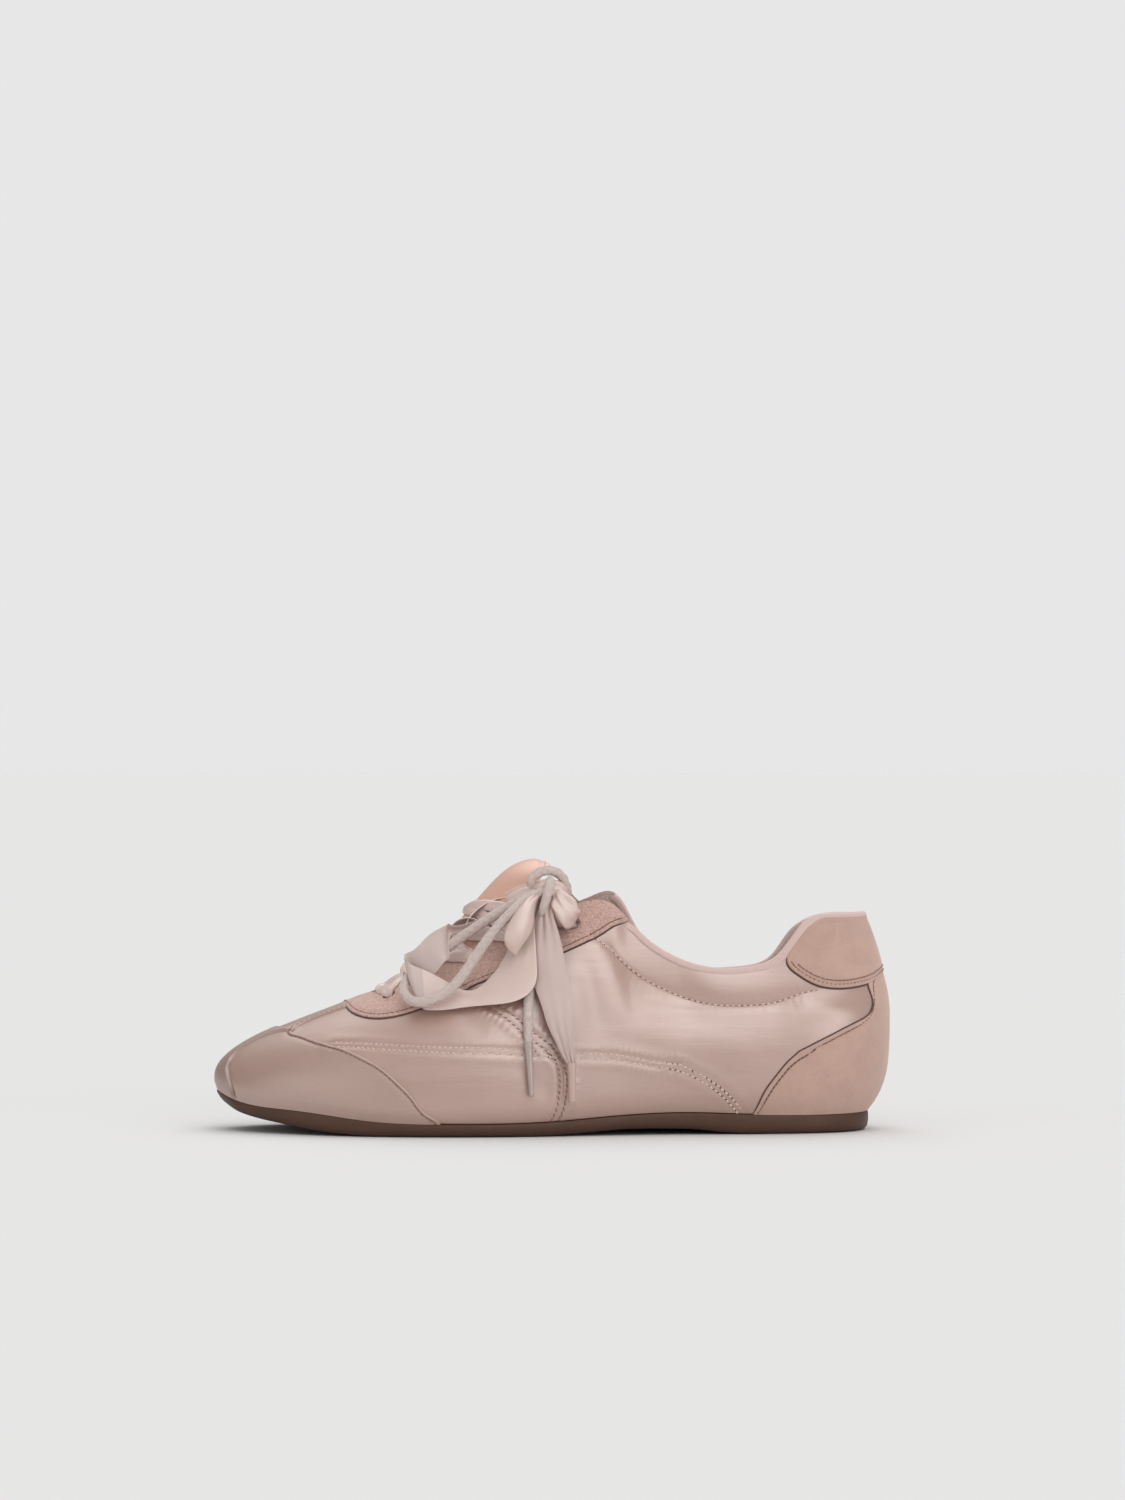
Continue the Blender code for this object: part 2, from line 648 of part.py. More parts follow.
def build_tongue():
    curve, length = tongue_frame()
    along, across = 18, 12
    bm = bmesh.new()
    rows = []
    for i in range(along + 1):
        s = length * i / along
        c = curve(s)
        d = unit((curve(min(s + 0.5, length)) - curve(max(s - 0.5, 0.0)))[:2])
        normal = np.array([-d[1], d[0]])
        row = []
        for k in range(across + 1):
            a = math.radians(c[3]) * (2.0 * k / across - 1.0)
            drop = c[2] * (1 - math.cos(a))
            row.append(bm.verts.new(vec((c[0] - normal[0] * drop, 0.6 + c[2] * math.sin(a), c[1] - normal[1] * drop))))
        rows.append(row)
    for a, b in zip(rows, rows[1:]):
        bridge(bm, a, b, closed=False)
    bmesh.ops.recalc_face_normals(bm, faces=bm.faces)
    up = sum((f.normal.z for f in bm.faces))
    if up < 0:
        bmesh.ops.reverse_faces(bm, faces=bm.faces)
    mesh = bpy.data.meshes.new("tongue")
    bm.to_mesh(mesh)
    bm.free()
    ob = bpy.data.objects.new("tongue", mesh)
    parts.objects.link(ob)
    mesh.materials.append(TONGUE_SATIN)
    mesh.shade_smooth()
    pad = ob.modifiers.new("padding", 'SOLIDIFY')
    pad.thickness = TONGUE_THICK * MM
    pad.offset = -1.0
    pad.use_even_offset = True
    return ob

# ------------------------------------------------------------------ laces
def surface_tree(*obs):
    """One search tree over the finished surfaces of the named objects."""
    dg = bpy.context.evaluated_depsgraph_get()
    verts, faces = [], []
    for ob in obs:
        mesh = bpy.data.meshes.new_from_object(ob.evaluated_get(dg))
        base = len(verts)
        verts += [ob.matrix_world @ v.co for v in mesh.vertices]
        faces += [[base + i for i in f.vertices] for f in mesh.polygons]
        bpy.data.meshes.remove(mesh)
    return BVHTree.FromPolygons(verts, faces)


def clear_of(tree, p, distance):
    """Moves a point out to at least the given distance from the surfaces, and gives their direction."""
    near, face, _, _ = tree.find_nearest(vec(p))
    off = np.array(vec(p) - near) / MM
    gap = np.linalg.norm(off)
    away = np.array(face)
    if np.dot(off, away) > 0 and gap > 1e-6:
        away = off / gap
        if gap >= distance:
            return p, away
        return p + away * (distance - gap), away
    return p + away * (distance + gap), away


# where the front bar and each crossing pass over the tongue: its ridge's X, and
# how far the two strands are lifted
CROSSING_COLUMNS = ("ridge_x", "lower_lift", "upper_lift")
FRONT_BAR = (-64.0, 0.5)
CROSSINGS = [(-55.0, 0.6, 1.3), (-50.5, 0.25, 1.0), (-41.5, 0.25, 1.0), (-32.5, 0.25, 1.0)]
BAR_STATIONS = 14
BAR_THICK = 2.0
BAR_CLEAR = 1.7             # from the ribbon's middle to what lies under it
# share of the width, share of the thickness, of the bunched ribbon's section
BAR_SECTION = [(-0.5, 0.0), (-0.27, 0.5), (0.27, 0.5), (0.5, 0.0), (0.27, -0.5), (-0.27, -0.5)]


def over_tongue(x, clear):
    """The point above the tongue's ridge at a given X, and the direction away from it."""
    curve, length = tongue_frame()
    steps = np.linspace(0.0, length, 200)
    s = min(steps, key=lambda q: abs(curve(q)[0] - x))
    d = unit((curve(min(s + 0.5, length)) - curve(max(s - 0.5, 0.0)))[:2])
    away = np.array([-d[1], 0.0, d[0]])
    c = curve(s)
    return np.array([c[0], 0.6, c[1]]) + away * clear, away


def lace_bar(name, tree, start, end, over, lift):
    """A bunched ribbon pulled taut from eyelet to eyelet, held down over the tongue's ridge."""
    (pa, na), (pb, nb) = start, end
    a, b = pa + na * (BAR_CLEAR + lift), pb + nb * (BAR_CLEAR + lift)
    middle, away = over_tongue(over, BAR_CLEAR + lift)
    half = BAR_STATIONS // 2
    pts = []
    for i in range(BAR_STATIONS + 1):
        t = i / BAR_STATIONS
        bow = a * (1 - t) ** 2 + b * t ** 2 + 2 * t * (1 - t) * (2 * middle - 0.5 * (a + b))
        pts.append(bow + away * 5.0 * math.sin(math.pi * t))
    pts[0], pts[half], pts[-1] = a, middle, b
    ups = [na] * len(pts)
    for turn in range(160):
        fresh = list(pts)
        for i in range(1, BAR_STATIONS):
            if i != half:
                fresh[i], ups[i] = clear_of(tree, 0.5 * (pts[i - 1] + pts[i + 1]), BAR_CLEAR + lift)
        pts = fresh
    ups[0], ups[half], ups[-1] = na, away, nb
    ups = [unit(ups[max(i - 1, 0)] + 2 * ups[i] + ups[min(i + 1, BAR_STATIONS)]) for i in range(BAR_STATIONS + 1)]
    bm = bmesh.new()
    rings = []
    for i in range(BAR_STATIONS + 1):
        run = unit(pts[min(i + 1, BAR_STATIONS)] - pts[max(i - 1, 0)])
        side = unit(np.cross(ups[i], run))
        up = np.cross(run, side)
        width = RIBBON_BAR_WIDTH * (0.42 + 0.58 * math.sin(math.pi * i / BAR_STATIONS) ** 0.5)
        rings.append([bm.verts.new(vec(pts[i] + side * width * w + up * BAR_THICK * h)) for w, h in BAR_SECTION])
    for ring_a, ring_b in zip(rings, rings[1:]):
        bridge(bm, ring_a, ring_b)
    bm.faces.new(rings[0])
    bm.faces.new(rings[-1])
    return add_object(name, bm, RIBBON, True, cutters)


def build_crossings(tree):
    """Straight bar at the front pair of eyelets, then an X between each two pairs."""
    pairs = [(eyelet_place(-1, k), eyelet_place(1, k)) for k in range(len(EYELETS))]
    runs = [(pairs[0][0], pairs[0][1], *FRONT_BAR)]
    for (lat_a, med_a), (lat_b, med_b), (ridge_x, lower_lift, upper_lift) in zip(pairs, pairs[1:], CROSSINGS):
        runs.append((lat_a, med_b, ridge_x, lower_lift))
        runs.append((med_a, lat_b, ridge_x, upper_lift))
    bars = [lace_bar("bar_%d" % i, tree, *run) for i, run in enumerate(runs)]
    bars += [eyelet_pad("pad_%d_%d" % (k, i), place) for k, pair in enumerate(pairs) for i, place in enumerate(pair)]
    body = bars[0]
    body.name = body.data.name = "lace_crossings"
    cutters.objects.unlink(body)
    parts.objects.link(body)
    for other in bars[1:]:
        other.hide_render = True
        other.display_type = 'WIRE'
        join = body.modifiers.new(other.name, 'BOOLEAN')
        join.operation = 'UNION'
        join.object = other
    return body


def eyelet_pad(name, place):
    """The bunch of lace that stands over one eyelet and joins the bars that meet there."""
    p, n = place
    bm = bmesh.new()
    bmesh.ops.create_cone(bm, cap_ends=True, segments=8, radius1=2.6 * MM, radius2=2.1 * MM, depth=3.6 * MM)
    rot = Vector((0, 0, 1)).rotation_difference(Vector(n)).to_matrix()
    bmesh.ops.rotate(bm, verts=bm.verts, cent=(0, 0, 0), matrix=rot)
    bmesh.ops.translate(bm, verts=bm.verts, vec=vec(p + n * (0.6 + 1.8)))
    return add_object(name, bm, RIBBON, True, cutters)


def route_curve(rows):
    pts = np.array(rows, float)
    steps = np.r_[0.0, np.cumsum(np.linalg.norm(np.diff(pts, axis=0), axis=1))]
    return open_spline(steps, pts), steps[-1]


def cord_tube(name, rows, diameter, mat):
    """A round lace along its route, a point every two to three diameters."""
    curve, length = route_curve(rows)
    count = max(4, int(round(length / (2.2 * diameter))))
    data = bpy.data.curves.new(name, 'CURVE')
    data.dimensions = '3D'
    data.bevel_depth = 0.5 * diameter * MM
    data.bevel_resolution = 2
    data.use_fill_caps = True
    spline = data.splines.new('POLY')
    spline.points.add(count)
    for i in range(count + 1):
        spline.points[i].co = (*vec(curve(length * i / count)), 1.0)
    data.materials.append(mat)
    ob = bpy.data.objects.new(name, data)
    parts.objects.link(ob)
    return ob


def ribbon_strip(name, rows, mat, step=9.0):
    """A flat ribbon between the two edges of its table, with its real thickness."""
    curve, length = route_curve(rows)
    length_mid = length
    count = max(4, int(round(length_mid / (1.4 * step))))
    bm = bmesh.new()
    rings = []
    for i in range(count + 1):
        t = length * i / count
        c = curve(t)
        ahead = curve(min(t + 0.5, length)) - curve(max(t - 0.5, 0.0))
        upper, lower = c[:3], c[3:]
        flow = ahead[:3] + ahead[3:]
        thick = np.cross(lower - upper, flow)
        thick = thick / np.linalg.norm(thick) * 0.5 * RIBBON_THICK
        rings.append([bm.verts.new(vec(q)) for q in (upper - thick, upper + thick, lower + thick, lower - thick)])
    for a, b in zip(rings, rings[1:]):
        bridge(bm, a, b)
    bm.faces.new(rings[0])
    bm.faces.new(rings[-1])
    return add_object(name, bm, mat, True)


def lace_tip(name, start, tip, radius, tip_radius, mat):
    """An aglet: a short taper from the end of a lace to its tip."""
    a, b = np.array(start, float), np.array(tip, float)
    bm = bmesh.new()
    bmesh.ops.create_cone(bm, cap_ends=True, segments=10, radius1=radius * MM, radius2=tip_radius * MM,
                          depth=float(np.linalg.norm(b - a)) * MM)
    rot = Vector((0, 0, 1)).rotation_difference(Vector(b - a)).to_matrix()
    bmesh.ops.rotate(bm, verts=bm.verts, cent=(0, 0, 0), matrix=rot)
    bmesh.ops.translate(bm, verts=bm.verts, vec=vec(0.5 * (a + b)))
    return add_object(name, bm, mat, True)


def build_knot():
    bm = bmesh.new()
    bmesh.ops.create_uvsphere(bm, u_segments=12, v_segments=8, radius=1.0)
    bmesh.ops.scale(bm, verts=bm.verts, vec=Vector(KNOT_RADII) * MM)
    bmesh.ops.translate(bm, verts=bm.verts, vec=vec(KNOT_CENTRE))
    return add_object("bow_knot", bm, RIBBON, True)


def past(rows, gap):
    """The point a small gap beyond the end of a route, where its tip starts."""
    curve, length = route_curve(rows)
    end = curve(length)
    return end + np.array(unit(end - curve(length - 1.0))) * gap


upper = build_upper()
punch_eyelets(upper)
outsole = build_outsole()
insole = build_insole()
tongue = build_tongue()
crossings = build_crossings(surface_tree(upper, tongue))
knot = build_knot()
cord_loop = cord_tube("cord_loop", CORD_LOOP, CORD_DIAMETER, BRAID)
cord_tail = cord_tube("cord_tail", CORD_TAIL, CORD_DIAMETER, BRAID)
cord_tip = lace_tip("cord_aglet", past(CORD_TAIL, GAP + 0.2), CORD_AGLET_TIP, 1.6, 0.9, AGLET)
ribbon_loop = ribbon_strip("ribbon_loop", RIBBON_LOOP, RIBBON)
ribbon_tail = ribbon_strip("ribbon_tail", RIBBON_TAIL, RIBBON)
ribbon_end = 0.5 * (np.array(RIBBON_TAIL[-1][:3]) + np.array(RIBBON_TAIL[-1][3:])) - np.array([0.0, 0.0, GAP + 0.2])
ribbon_tip = lace_tip("ribbon_aglet", ribbon_end, RIBBON_AGLET_TIP, 1.5, 1.4, RIBBON_AGLET)
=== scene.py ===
"""Looks for the low lace-up ballet sneaker, left foot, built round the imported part.

Lengths in the tables are millimetres; world() turns them into the frame's metres.
The toe points to -X, the heel to +X, the lateral side is -Y, the medial side +Y.
"""
import math
import bpy
import numpy as np
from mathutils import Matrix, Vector, geometry, noise
from mathutils.bvhtree import BVHTree
from mathutils.kdtree import KDTree

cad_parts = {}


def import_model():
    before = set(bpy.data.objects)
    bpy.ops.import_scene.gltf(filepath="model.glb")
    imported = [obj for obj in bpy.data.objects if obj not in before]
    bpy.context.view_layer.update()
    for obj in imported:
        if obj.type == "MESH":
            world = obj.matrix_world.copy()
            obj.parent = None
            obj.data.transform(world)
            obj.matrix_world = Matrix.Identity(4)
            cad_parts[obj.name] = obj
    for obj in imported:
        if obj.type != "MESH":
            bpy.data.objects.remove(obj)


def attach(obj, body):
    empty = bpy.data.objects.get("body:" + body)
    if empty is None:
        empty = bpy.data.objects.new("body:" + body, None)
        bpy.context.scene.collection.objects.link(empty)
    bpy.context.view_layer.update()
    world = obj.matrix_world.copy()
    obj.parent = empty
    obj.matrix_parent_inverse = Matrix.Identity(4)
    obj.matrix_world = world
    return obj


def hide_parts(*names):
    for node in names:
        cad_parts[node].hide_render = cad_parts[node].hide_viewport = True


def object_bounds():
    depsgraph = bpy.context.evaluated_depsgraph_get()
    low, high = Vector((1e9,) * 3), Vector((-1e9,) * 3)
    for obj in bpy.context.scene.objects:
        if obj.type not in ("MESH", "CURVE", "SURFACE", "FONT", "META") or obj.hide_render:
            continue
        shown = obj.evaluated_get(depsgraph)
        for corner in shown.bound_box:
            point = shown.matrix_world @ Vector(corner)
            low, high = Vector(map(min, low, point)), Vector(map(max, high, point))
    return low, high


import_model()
CAD_BOX = [[float(c) for c in corner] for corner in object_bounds()]

MM = 0.001

# ------------------------------------------------------------------ named sizes
OVERALL_LENGTH = 256.0      # tip of the sole's lip to the heel's bulge
SOLE_LENGTH = 247.7         # outsole alone
TOE_X = -128.0              # X of the toe tip
WALL = 1.8                  # suede or satin, foam and lining together
GAP = 0.3                   # clearance between pieces that touch
SOLE_PROUD = 0.5            # how far the rubber stands out past the feather line
EYELET_RADIUS = 2.9
TONGUE_THICK = 3.0
RIBBON_WIDTH = 17.0         # satin ribbon lying flat
RIBBON_BAR_WIDTH = 9.0      # the same ribbon bunched under tension
RIBBON_THICK = 1.2
CORD_DIAMETER = 4.0         # round braided lace
CENTRING = (0.325, 1.234)   # moves the tables' X and Y to the middle of the shoe's box

# ------------------------------------------------------------------ short tables
# Feather line (where upper meets sole) in plan: distance from the toe tip, then
# Y on the outer and on the inner side of the foot.
OUTLINE_COLUMNS = ("from_toe", "lateral_y", "medial_y")
OUTLINE = [
    (0.0, 8.0, 8.0),
    (3.0, -2.6, 17.0),
    (9.5, -11.6, 24.0),
    (20.0, -20.8, 30.6),
    (35.0, -30.0, 36.2),
    (55.0, -38.0, 39.8),
    (75.0, -41.9, 40.4),
    (95.0, -43.2, 37.6),
    (115.0, -41.6, 32.6),
    (135.0, -37.9, 28.3),
    (155.0, -34.0, 25.9),
    (175.0, -31.6, 25.9),
    (195.0, -30.4, 27.3),
    (215.0, -28.6, 27.6),
    (230.0, -24.6, 24.6),
    (240.0, -18.0, 18.6),
    (245.8, -9.4, 10.2),
    (247.7, 0.4, 0.4),
]

# Heights of the sole along the foot: its underside and its upper edge.
LEVEL_COLUMNS = ("from_toe", "under_z", "feather_z")
LEVELS = [
    (0.0, 12.0, 15.4),
    (3.5, 9.7, 13.6),
    (8.0, 7.3, 11.9),
    (25.0, 3.7, 9.7),
    (43.0, 1.0, 7.9),
    (60.0, 0.0, 5.9),
    (80.0, 0.0, 5.1),
    (115.0, 0.0, 5.2),
    (125.0, 0.1, 5.6),
    (141.0, 1.2, 6.7),
    (158.0, 2.2, 7.9),
    (177.0, 2.0, 8.4),
    (194.0, 0.4, 7.9),
    (203.0, 0.0, 7.6),
    (225.0, 0.0, 7.3),
    (247.7, 0.0, 7.5),
]
LEVEL_FOREFOOT = (60.0, 115.0)      # level stretches, from the toe tip
LEVEL_HEEL = (203.0, 243.0)

# Top line: front of the throat, along the eyestay, its rear peak, the dip of the
# collar, the heel tab.  foot = share of the feather line's length at which the
# section of this row starts (0 toe tip, 1 heel).
TOPLINE_COLUMNS = ("foot", "x", "medial_dx", "lateral_y", "medial_y", "lateral_z", "medial_z")
TOPLINE = [
    (0.000, -70.0, 0.0, 1.0, 1.0, 51.6, 51.6),
    (0.050, -69.6, 0.0, -2.6, 4.4, 51.7, 51.7),
    (0.100, -68.3, 0.0, -5.6, 7.4, 52.0, 52.0),
    (0.155, -65.9, 0.0, -8.2, 9.8, 52.8, 52.8),
    (0.210, -62.0, 0.0, -10.2, 11.8, 54.6, 54.6),
    (0.275, -55.0, 0.0, -12.3, 13.8, 58.2, 58.2),
    (0.345, -44.5, 0.0, -14.3, 15.6, 63.6, 63.6),
    (0.405, -32.0, 0.0, -16.0, 17.2, 69.4, 69.4),
    (0.465, -17.5, 1.0, -17.6, 18.6, 75.9, 75.6),
    (0.522, -2.0, 3.0, -19.0, 19.8, 82.2, 82.2),
    (0.570, 11.0, 4.6, -20.2, 20.8, 86.8, 87.8),
    (0.602, 20.0, 3.4, -21.2, 21.8, 86.7, 89.4),
    (0.626, 26.6, 1.8, -22.6, 23.2, 81.2, 83.6),
    (0.648, 33.0, 0.4, -24.2, 24.8, 74.2, 74.4),
    (0.678, 42.5, 0.0, -25.9, 26.2, 67.5, 65.8),
    (0.722, 56.0, 0.0, -27.3, 27.4, 62.6, 60.4),
    (0.774, 71.0, 0.3, -27.0, 27.0, 62.1, 60.2),
    (0.820, 83.5, 1.4, -25.4, 25.4, 66.4, 64.4),
    (0.850, 90.6, 1.2, -23.8, 23.8, 74.8, 73.7),
    (0.876, 96.2, 0.8, -21.6, 21.6, 80.6, 78.2),
    (0.915, 105.0, 0.3, -16.6, 16.6, 82.1, 81.2),
    (0.958, 114.6, 0.0, -8.4, 8.4, 82.0, 81.8),
    (1.000, 118.6, 0.0, 0.3, 0.3, 82.3, 82.3),
]

# Shape of the wall in section: how far and how high it bulges over the feather
# line, then how it rises to the top line: rise and reach are the handle lengths
# as shares of the distance bulge-to-top, lean is the slope at the top line.
WALL_COLUMNS = ("foot", "bulge_lateral", "bulge_medial", "bulge_up", "kick", "rise", "lean", "reach")
WALLS = [
    (0.00, 0.4, 0.4, 4.6, 75.0, 0.160, 20.0, 0.52),
    (0.06, 0.9, 0.9, 5.2, 70.0, 0.170, 21.0, 0.50),
    (0.13, 1.5, 1.6, 6.4, 62.0, 0.215, 24.0, 0.44),
    (0.22, 2.0, 2.2, 8.0, 56.0, 0.290, 29.0, 0.38),
    (0.32, 2.3, 2.8, 9.5, 52.0, 0.350, 34.0, 0.34),
    (0.44, 2.5, 3.0, 11.5, 52.0, 0.400, 44.0, 0.32),
    (0.56, 2.6, 2.6, 14.0, 55.0, 0.400, 60.0, 0.30),
    (0.66, 3.0, 2.9, 17.0, 56.0, 0.380, 74.0, 0.30),
    (0.76, 3.8, 3.6, 20.0, 56.0, 0.360, 80.0, 0.30),
    (0.86, 4.9, 4.7, 25.0, 55.0, 0.330, 80.0, 0.30),
    (0.94, 6.9, 6.9, 32.0, 52.0, 0.310, 77.0, 0.34),
    (1.00, 8.3, 8.3, 36.0, 48.0, 0.300, 74.0, 0.36),
]

# Tongue: the ridge of its outer face, and in section a round arc of this radius
# and half angle.  It starts under the vamp and stands up out of the throat.
TONGUE_COLUMNS = ("ridge_x", "ridge_z", "radius", "half_angle")
TONGUE = [
    (-86.0, 40.0, 26.0, 24.0),
    (-78.0, 43.6, 25.0, 30.0),
    (-68.0, 48.2, 21.0, 44.0),
    (-58.5, 54.2, 18.5, 58.0),
    (-50.0, 62.0, 17.0, 70.0),
    (-42.0, 71.2, 16.4, 78.0),
    (-34.5, 80.6, 16.0, 81.0),
    (-28.5, 88.0, 16.1, 78.0),
    (-22.0, 95.2, 16.9, 71.0),
    (-15.5, 100.3, 18.8, 61.0),
    (-9.0, 102.6, 21.0, 50.0),
    (-4.5, 102.6, 22.0, 34.0),
    (-2.2, 102.1, 22.0, 22.0),
]


# ------------------------------------------------------------------ small maths
def column(table, columns, name):
    return np.array([row[columns.index(name)] for row in table], dtype=float)


def _cubic(k, v, m):
    def f(x):
        x = np.asarray(x, float)
        i = np.clip(np.searchsorted(k, x) - 1, 0, len(k) - 2)
        h = k[i + 1] - k[i]
        s, t = (k[i + 1] - x) / h, (x - k[i]) / h
        if v.ndim > 1:
            s, t, h = s[..., None], t[..., None], h[..., None]
        return (s * v[i] + t * v[i + 1]
                + ((s ** 3 - s) * m[i] + (t ** 3 - t) * m[i + 1]) * h * h / 6.0)
    return f


def open_spline(knots, values):
    k = np.asarray(knots, float)
    v = np.asarray(values, float)
    n = len(k)
    h = np.diff(k)
    a = np.zeros((n, n))
    b = np.zeros((n,) + v.shape[1:])
    a[0, 0] = a[-1, -1] = 1.0
    for i in range(1, n - 1):
        a[i, i - 1], a[i, i], a[i, i + 1] = h[i - 1], 2 * (h[i - 1] + h[i]), h[i]
        b[i] = 6 * ((v[i + 1] - v[i]) / h[i] - (v[i] - v[i - 1]) / h[i - 1])
    return _cubic(k, v, np.linalg.solve(a, b))


def loop_spline(knots, values):
    k = np.asarray(knots, float)
    v = np.asarray(values, float)
    n = len(v)
    h = np.diff(k)
    a = np.zeros((n, n))
    b = np.zeros_like(v)
    for i in range(n):
        p, q = (i - 1) % n, (i + 1) % n
        a[i, p] += h[p]
        a[i, i] += 2 * (h[p] + h[i])
        a[i, q] += h[i]
        b[i] = 6 * ((v[q] - v[i]) / h[i] - (v[i] - v[p]) / h[p])
    m = np.linalg.solve(a, b)
    f = _cubic(k, np.concatenate([v, v[:1]]), np.concatenate([m, m[:1]]))
    period = k[-1] - k[0]
    return lambda u: f(k[0] + (np.asarray(u, float) - k[0]) % period)


def pchip(knots, values):
    k = np.asarray(knots, float)
    v = np.asarray(values, float)
    h = np.diff(k)
    d = np.diff(v) / h
    g = np.zeros(len(k))
    for i in range(1, len(k) - 1):
        if d[i - 1] * d[i] > 0:
            w1, w2 = 2 * h[i] + h[i - 1], h[i] + 2 * h[i - 1]
            g[i] = (w1 + w2) / (w1 / d[i - 1] + w2 / d[i])
    g[0], g[-1] = d[0], d[-1]

    def f(x):
        x = np.clip(np.asarray(x, float), k[0], k[-1])
        i = np.clip(np.searchsorted(k, x) - 1, 0, len(k) - 2)
        t = (x - k[i]) / h[i]
        return ((1 + 2 * t) * (1 - t) ** 2 * v[i] + t * (1 - t) ** 2 * h[i] * g[i]
                + t * t * (3 - 2 * t) * v[i + 1] + t * t * (t - 1) * h[i] * g[i + 1])
    return f


def unit(v):
    v = np.asarray(v, float)
    return v / np.maximum(np.linalg.norm(v, axis=-1, keepdims=True), 1e-9)


def world(p):
    p = np.asarray(p, float)
    return (p + np.array([CENTRING[0], CENTRING[1], 0.0])) * MM


def design(p):
    return np.asarray(p, float) / MM - np.array([CENTRING[0], CENTRING[1], 0.0])


def smooth(x, a, b):
    t = np.clip((np.asarray(x, float) - a) / (b - a), 0.0, 1.0)
    return t * t * (3 - 2 * t)


def wander(points, scale, seed=0.0):
    """Slow noise, -1 to 1, at each point of an array in millimetres."""
    return np.array([noise.noise(Vector((p[0] / scale + seed, p[1] / scale, p[2] / scale))) for p in points])


def along(points):
    """Running length of a polyline."""
    return np.r_[0.0, np.cumsum(np.linalg.norm(np.diff(points, axis=0), axis=1))]


def smooth_line(rows, count=None, step=None):
    """Evenly spaced points on the smooth curve through the rows (any number of columns; the first three are a place)."""
    pts = np.array(rows, float)
    d = along(pts[:, :3] if pts.shape[1] < 6 else 0.5 * (pts[:, :3] + pts[:, 3:6]))
    f = open_spline(d, pts)
    fine = f(np.linspace(0, d[-1], 900))
    s = along(fine[:, :3] if pts.shape[1] < 6 else 0.5 * (fine[:, :3] + fine[:, 3:6]))
    n = count or max(3, int(round(s[-1] / step)) + 1)
    want = np.linspace(0, s[-1], n)
    return np.stack([np.interp(want, s, fine[:, c]) for c in range(fine.shape[1])], 1)


# ------------------------------------------------------------------ the last
under_z = pchip(column(LEVELS, LEVEL_COLUMNS, "from_toe"), column(LEVELS, LEVEL_COLUMNS, "under_z"))
feather_z = open_spline(column(LEVELS, LEVEL_COLUMNS, "from_toe"), column(LEVELS, LEVEL_COLUMNS, "feather_z"))


def outline_loop():
    fx = column(OUTLINE, OUTLINE_COLUMNS, "from_toe")
    la = column(OUTLINE, OUTLINE_COLUMNS, "lateral_y")
    me = column(OUTLINE, OUTLINE_COLUMNS, "medial_y")
    pts = np.concatenate([np.stack([fx, la], 1), np.stack([fx, me], 1)[1:-1][::-1]])
    knots = np.concatenate([[0.0], np.cumsum(np.linalg.norm(np.roll(pts, -1, 0) - pts, axis=1))])
    curve = loop_spline(knots, pts)
    heel, total = knots[len(fx) - 1], knots[-1]
    return lambda side, share: curve(heel * share) if side < 0 else curve(total - (total - heel) * share)


outline_at = outline_loop()


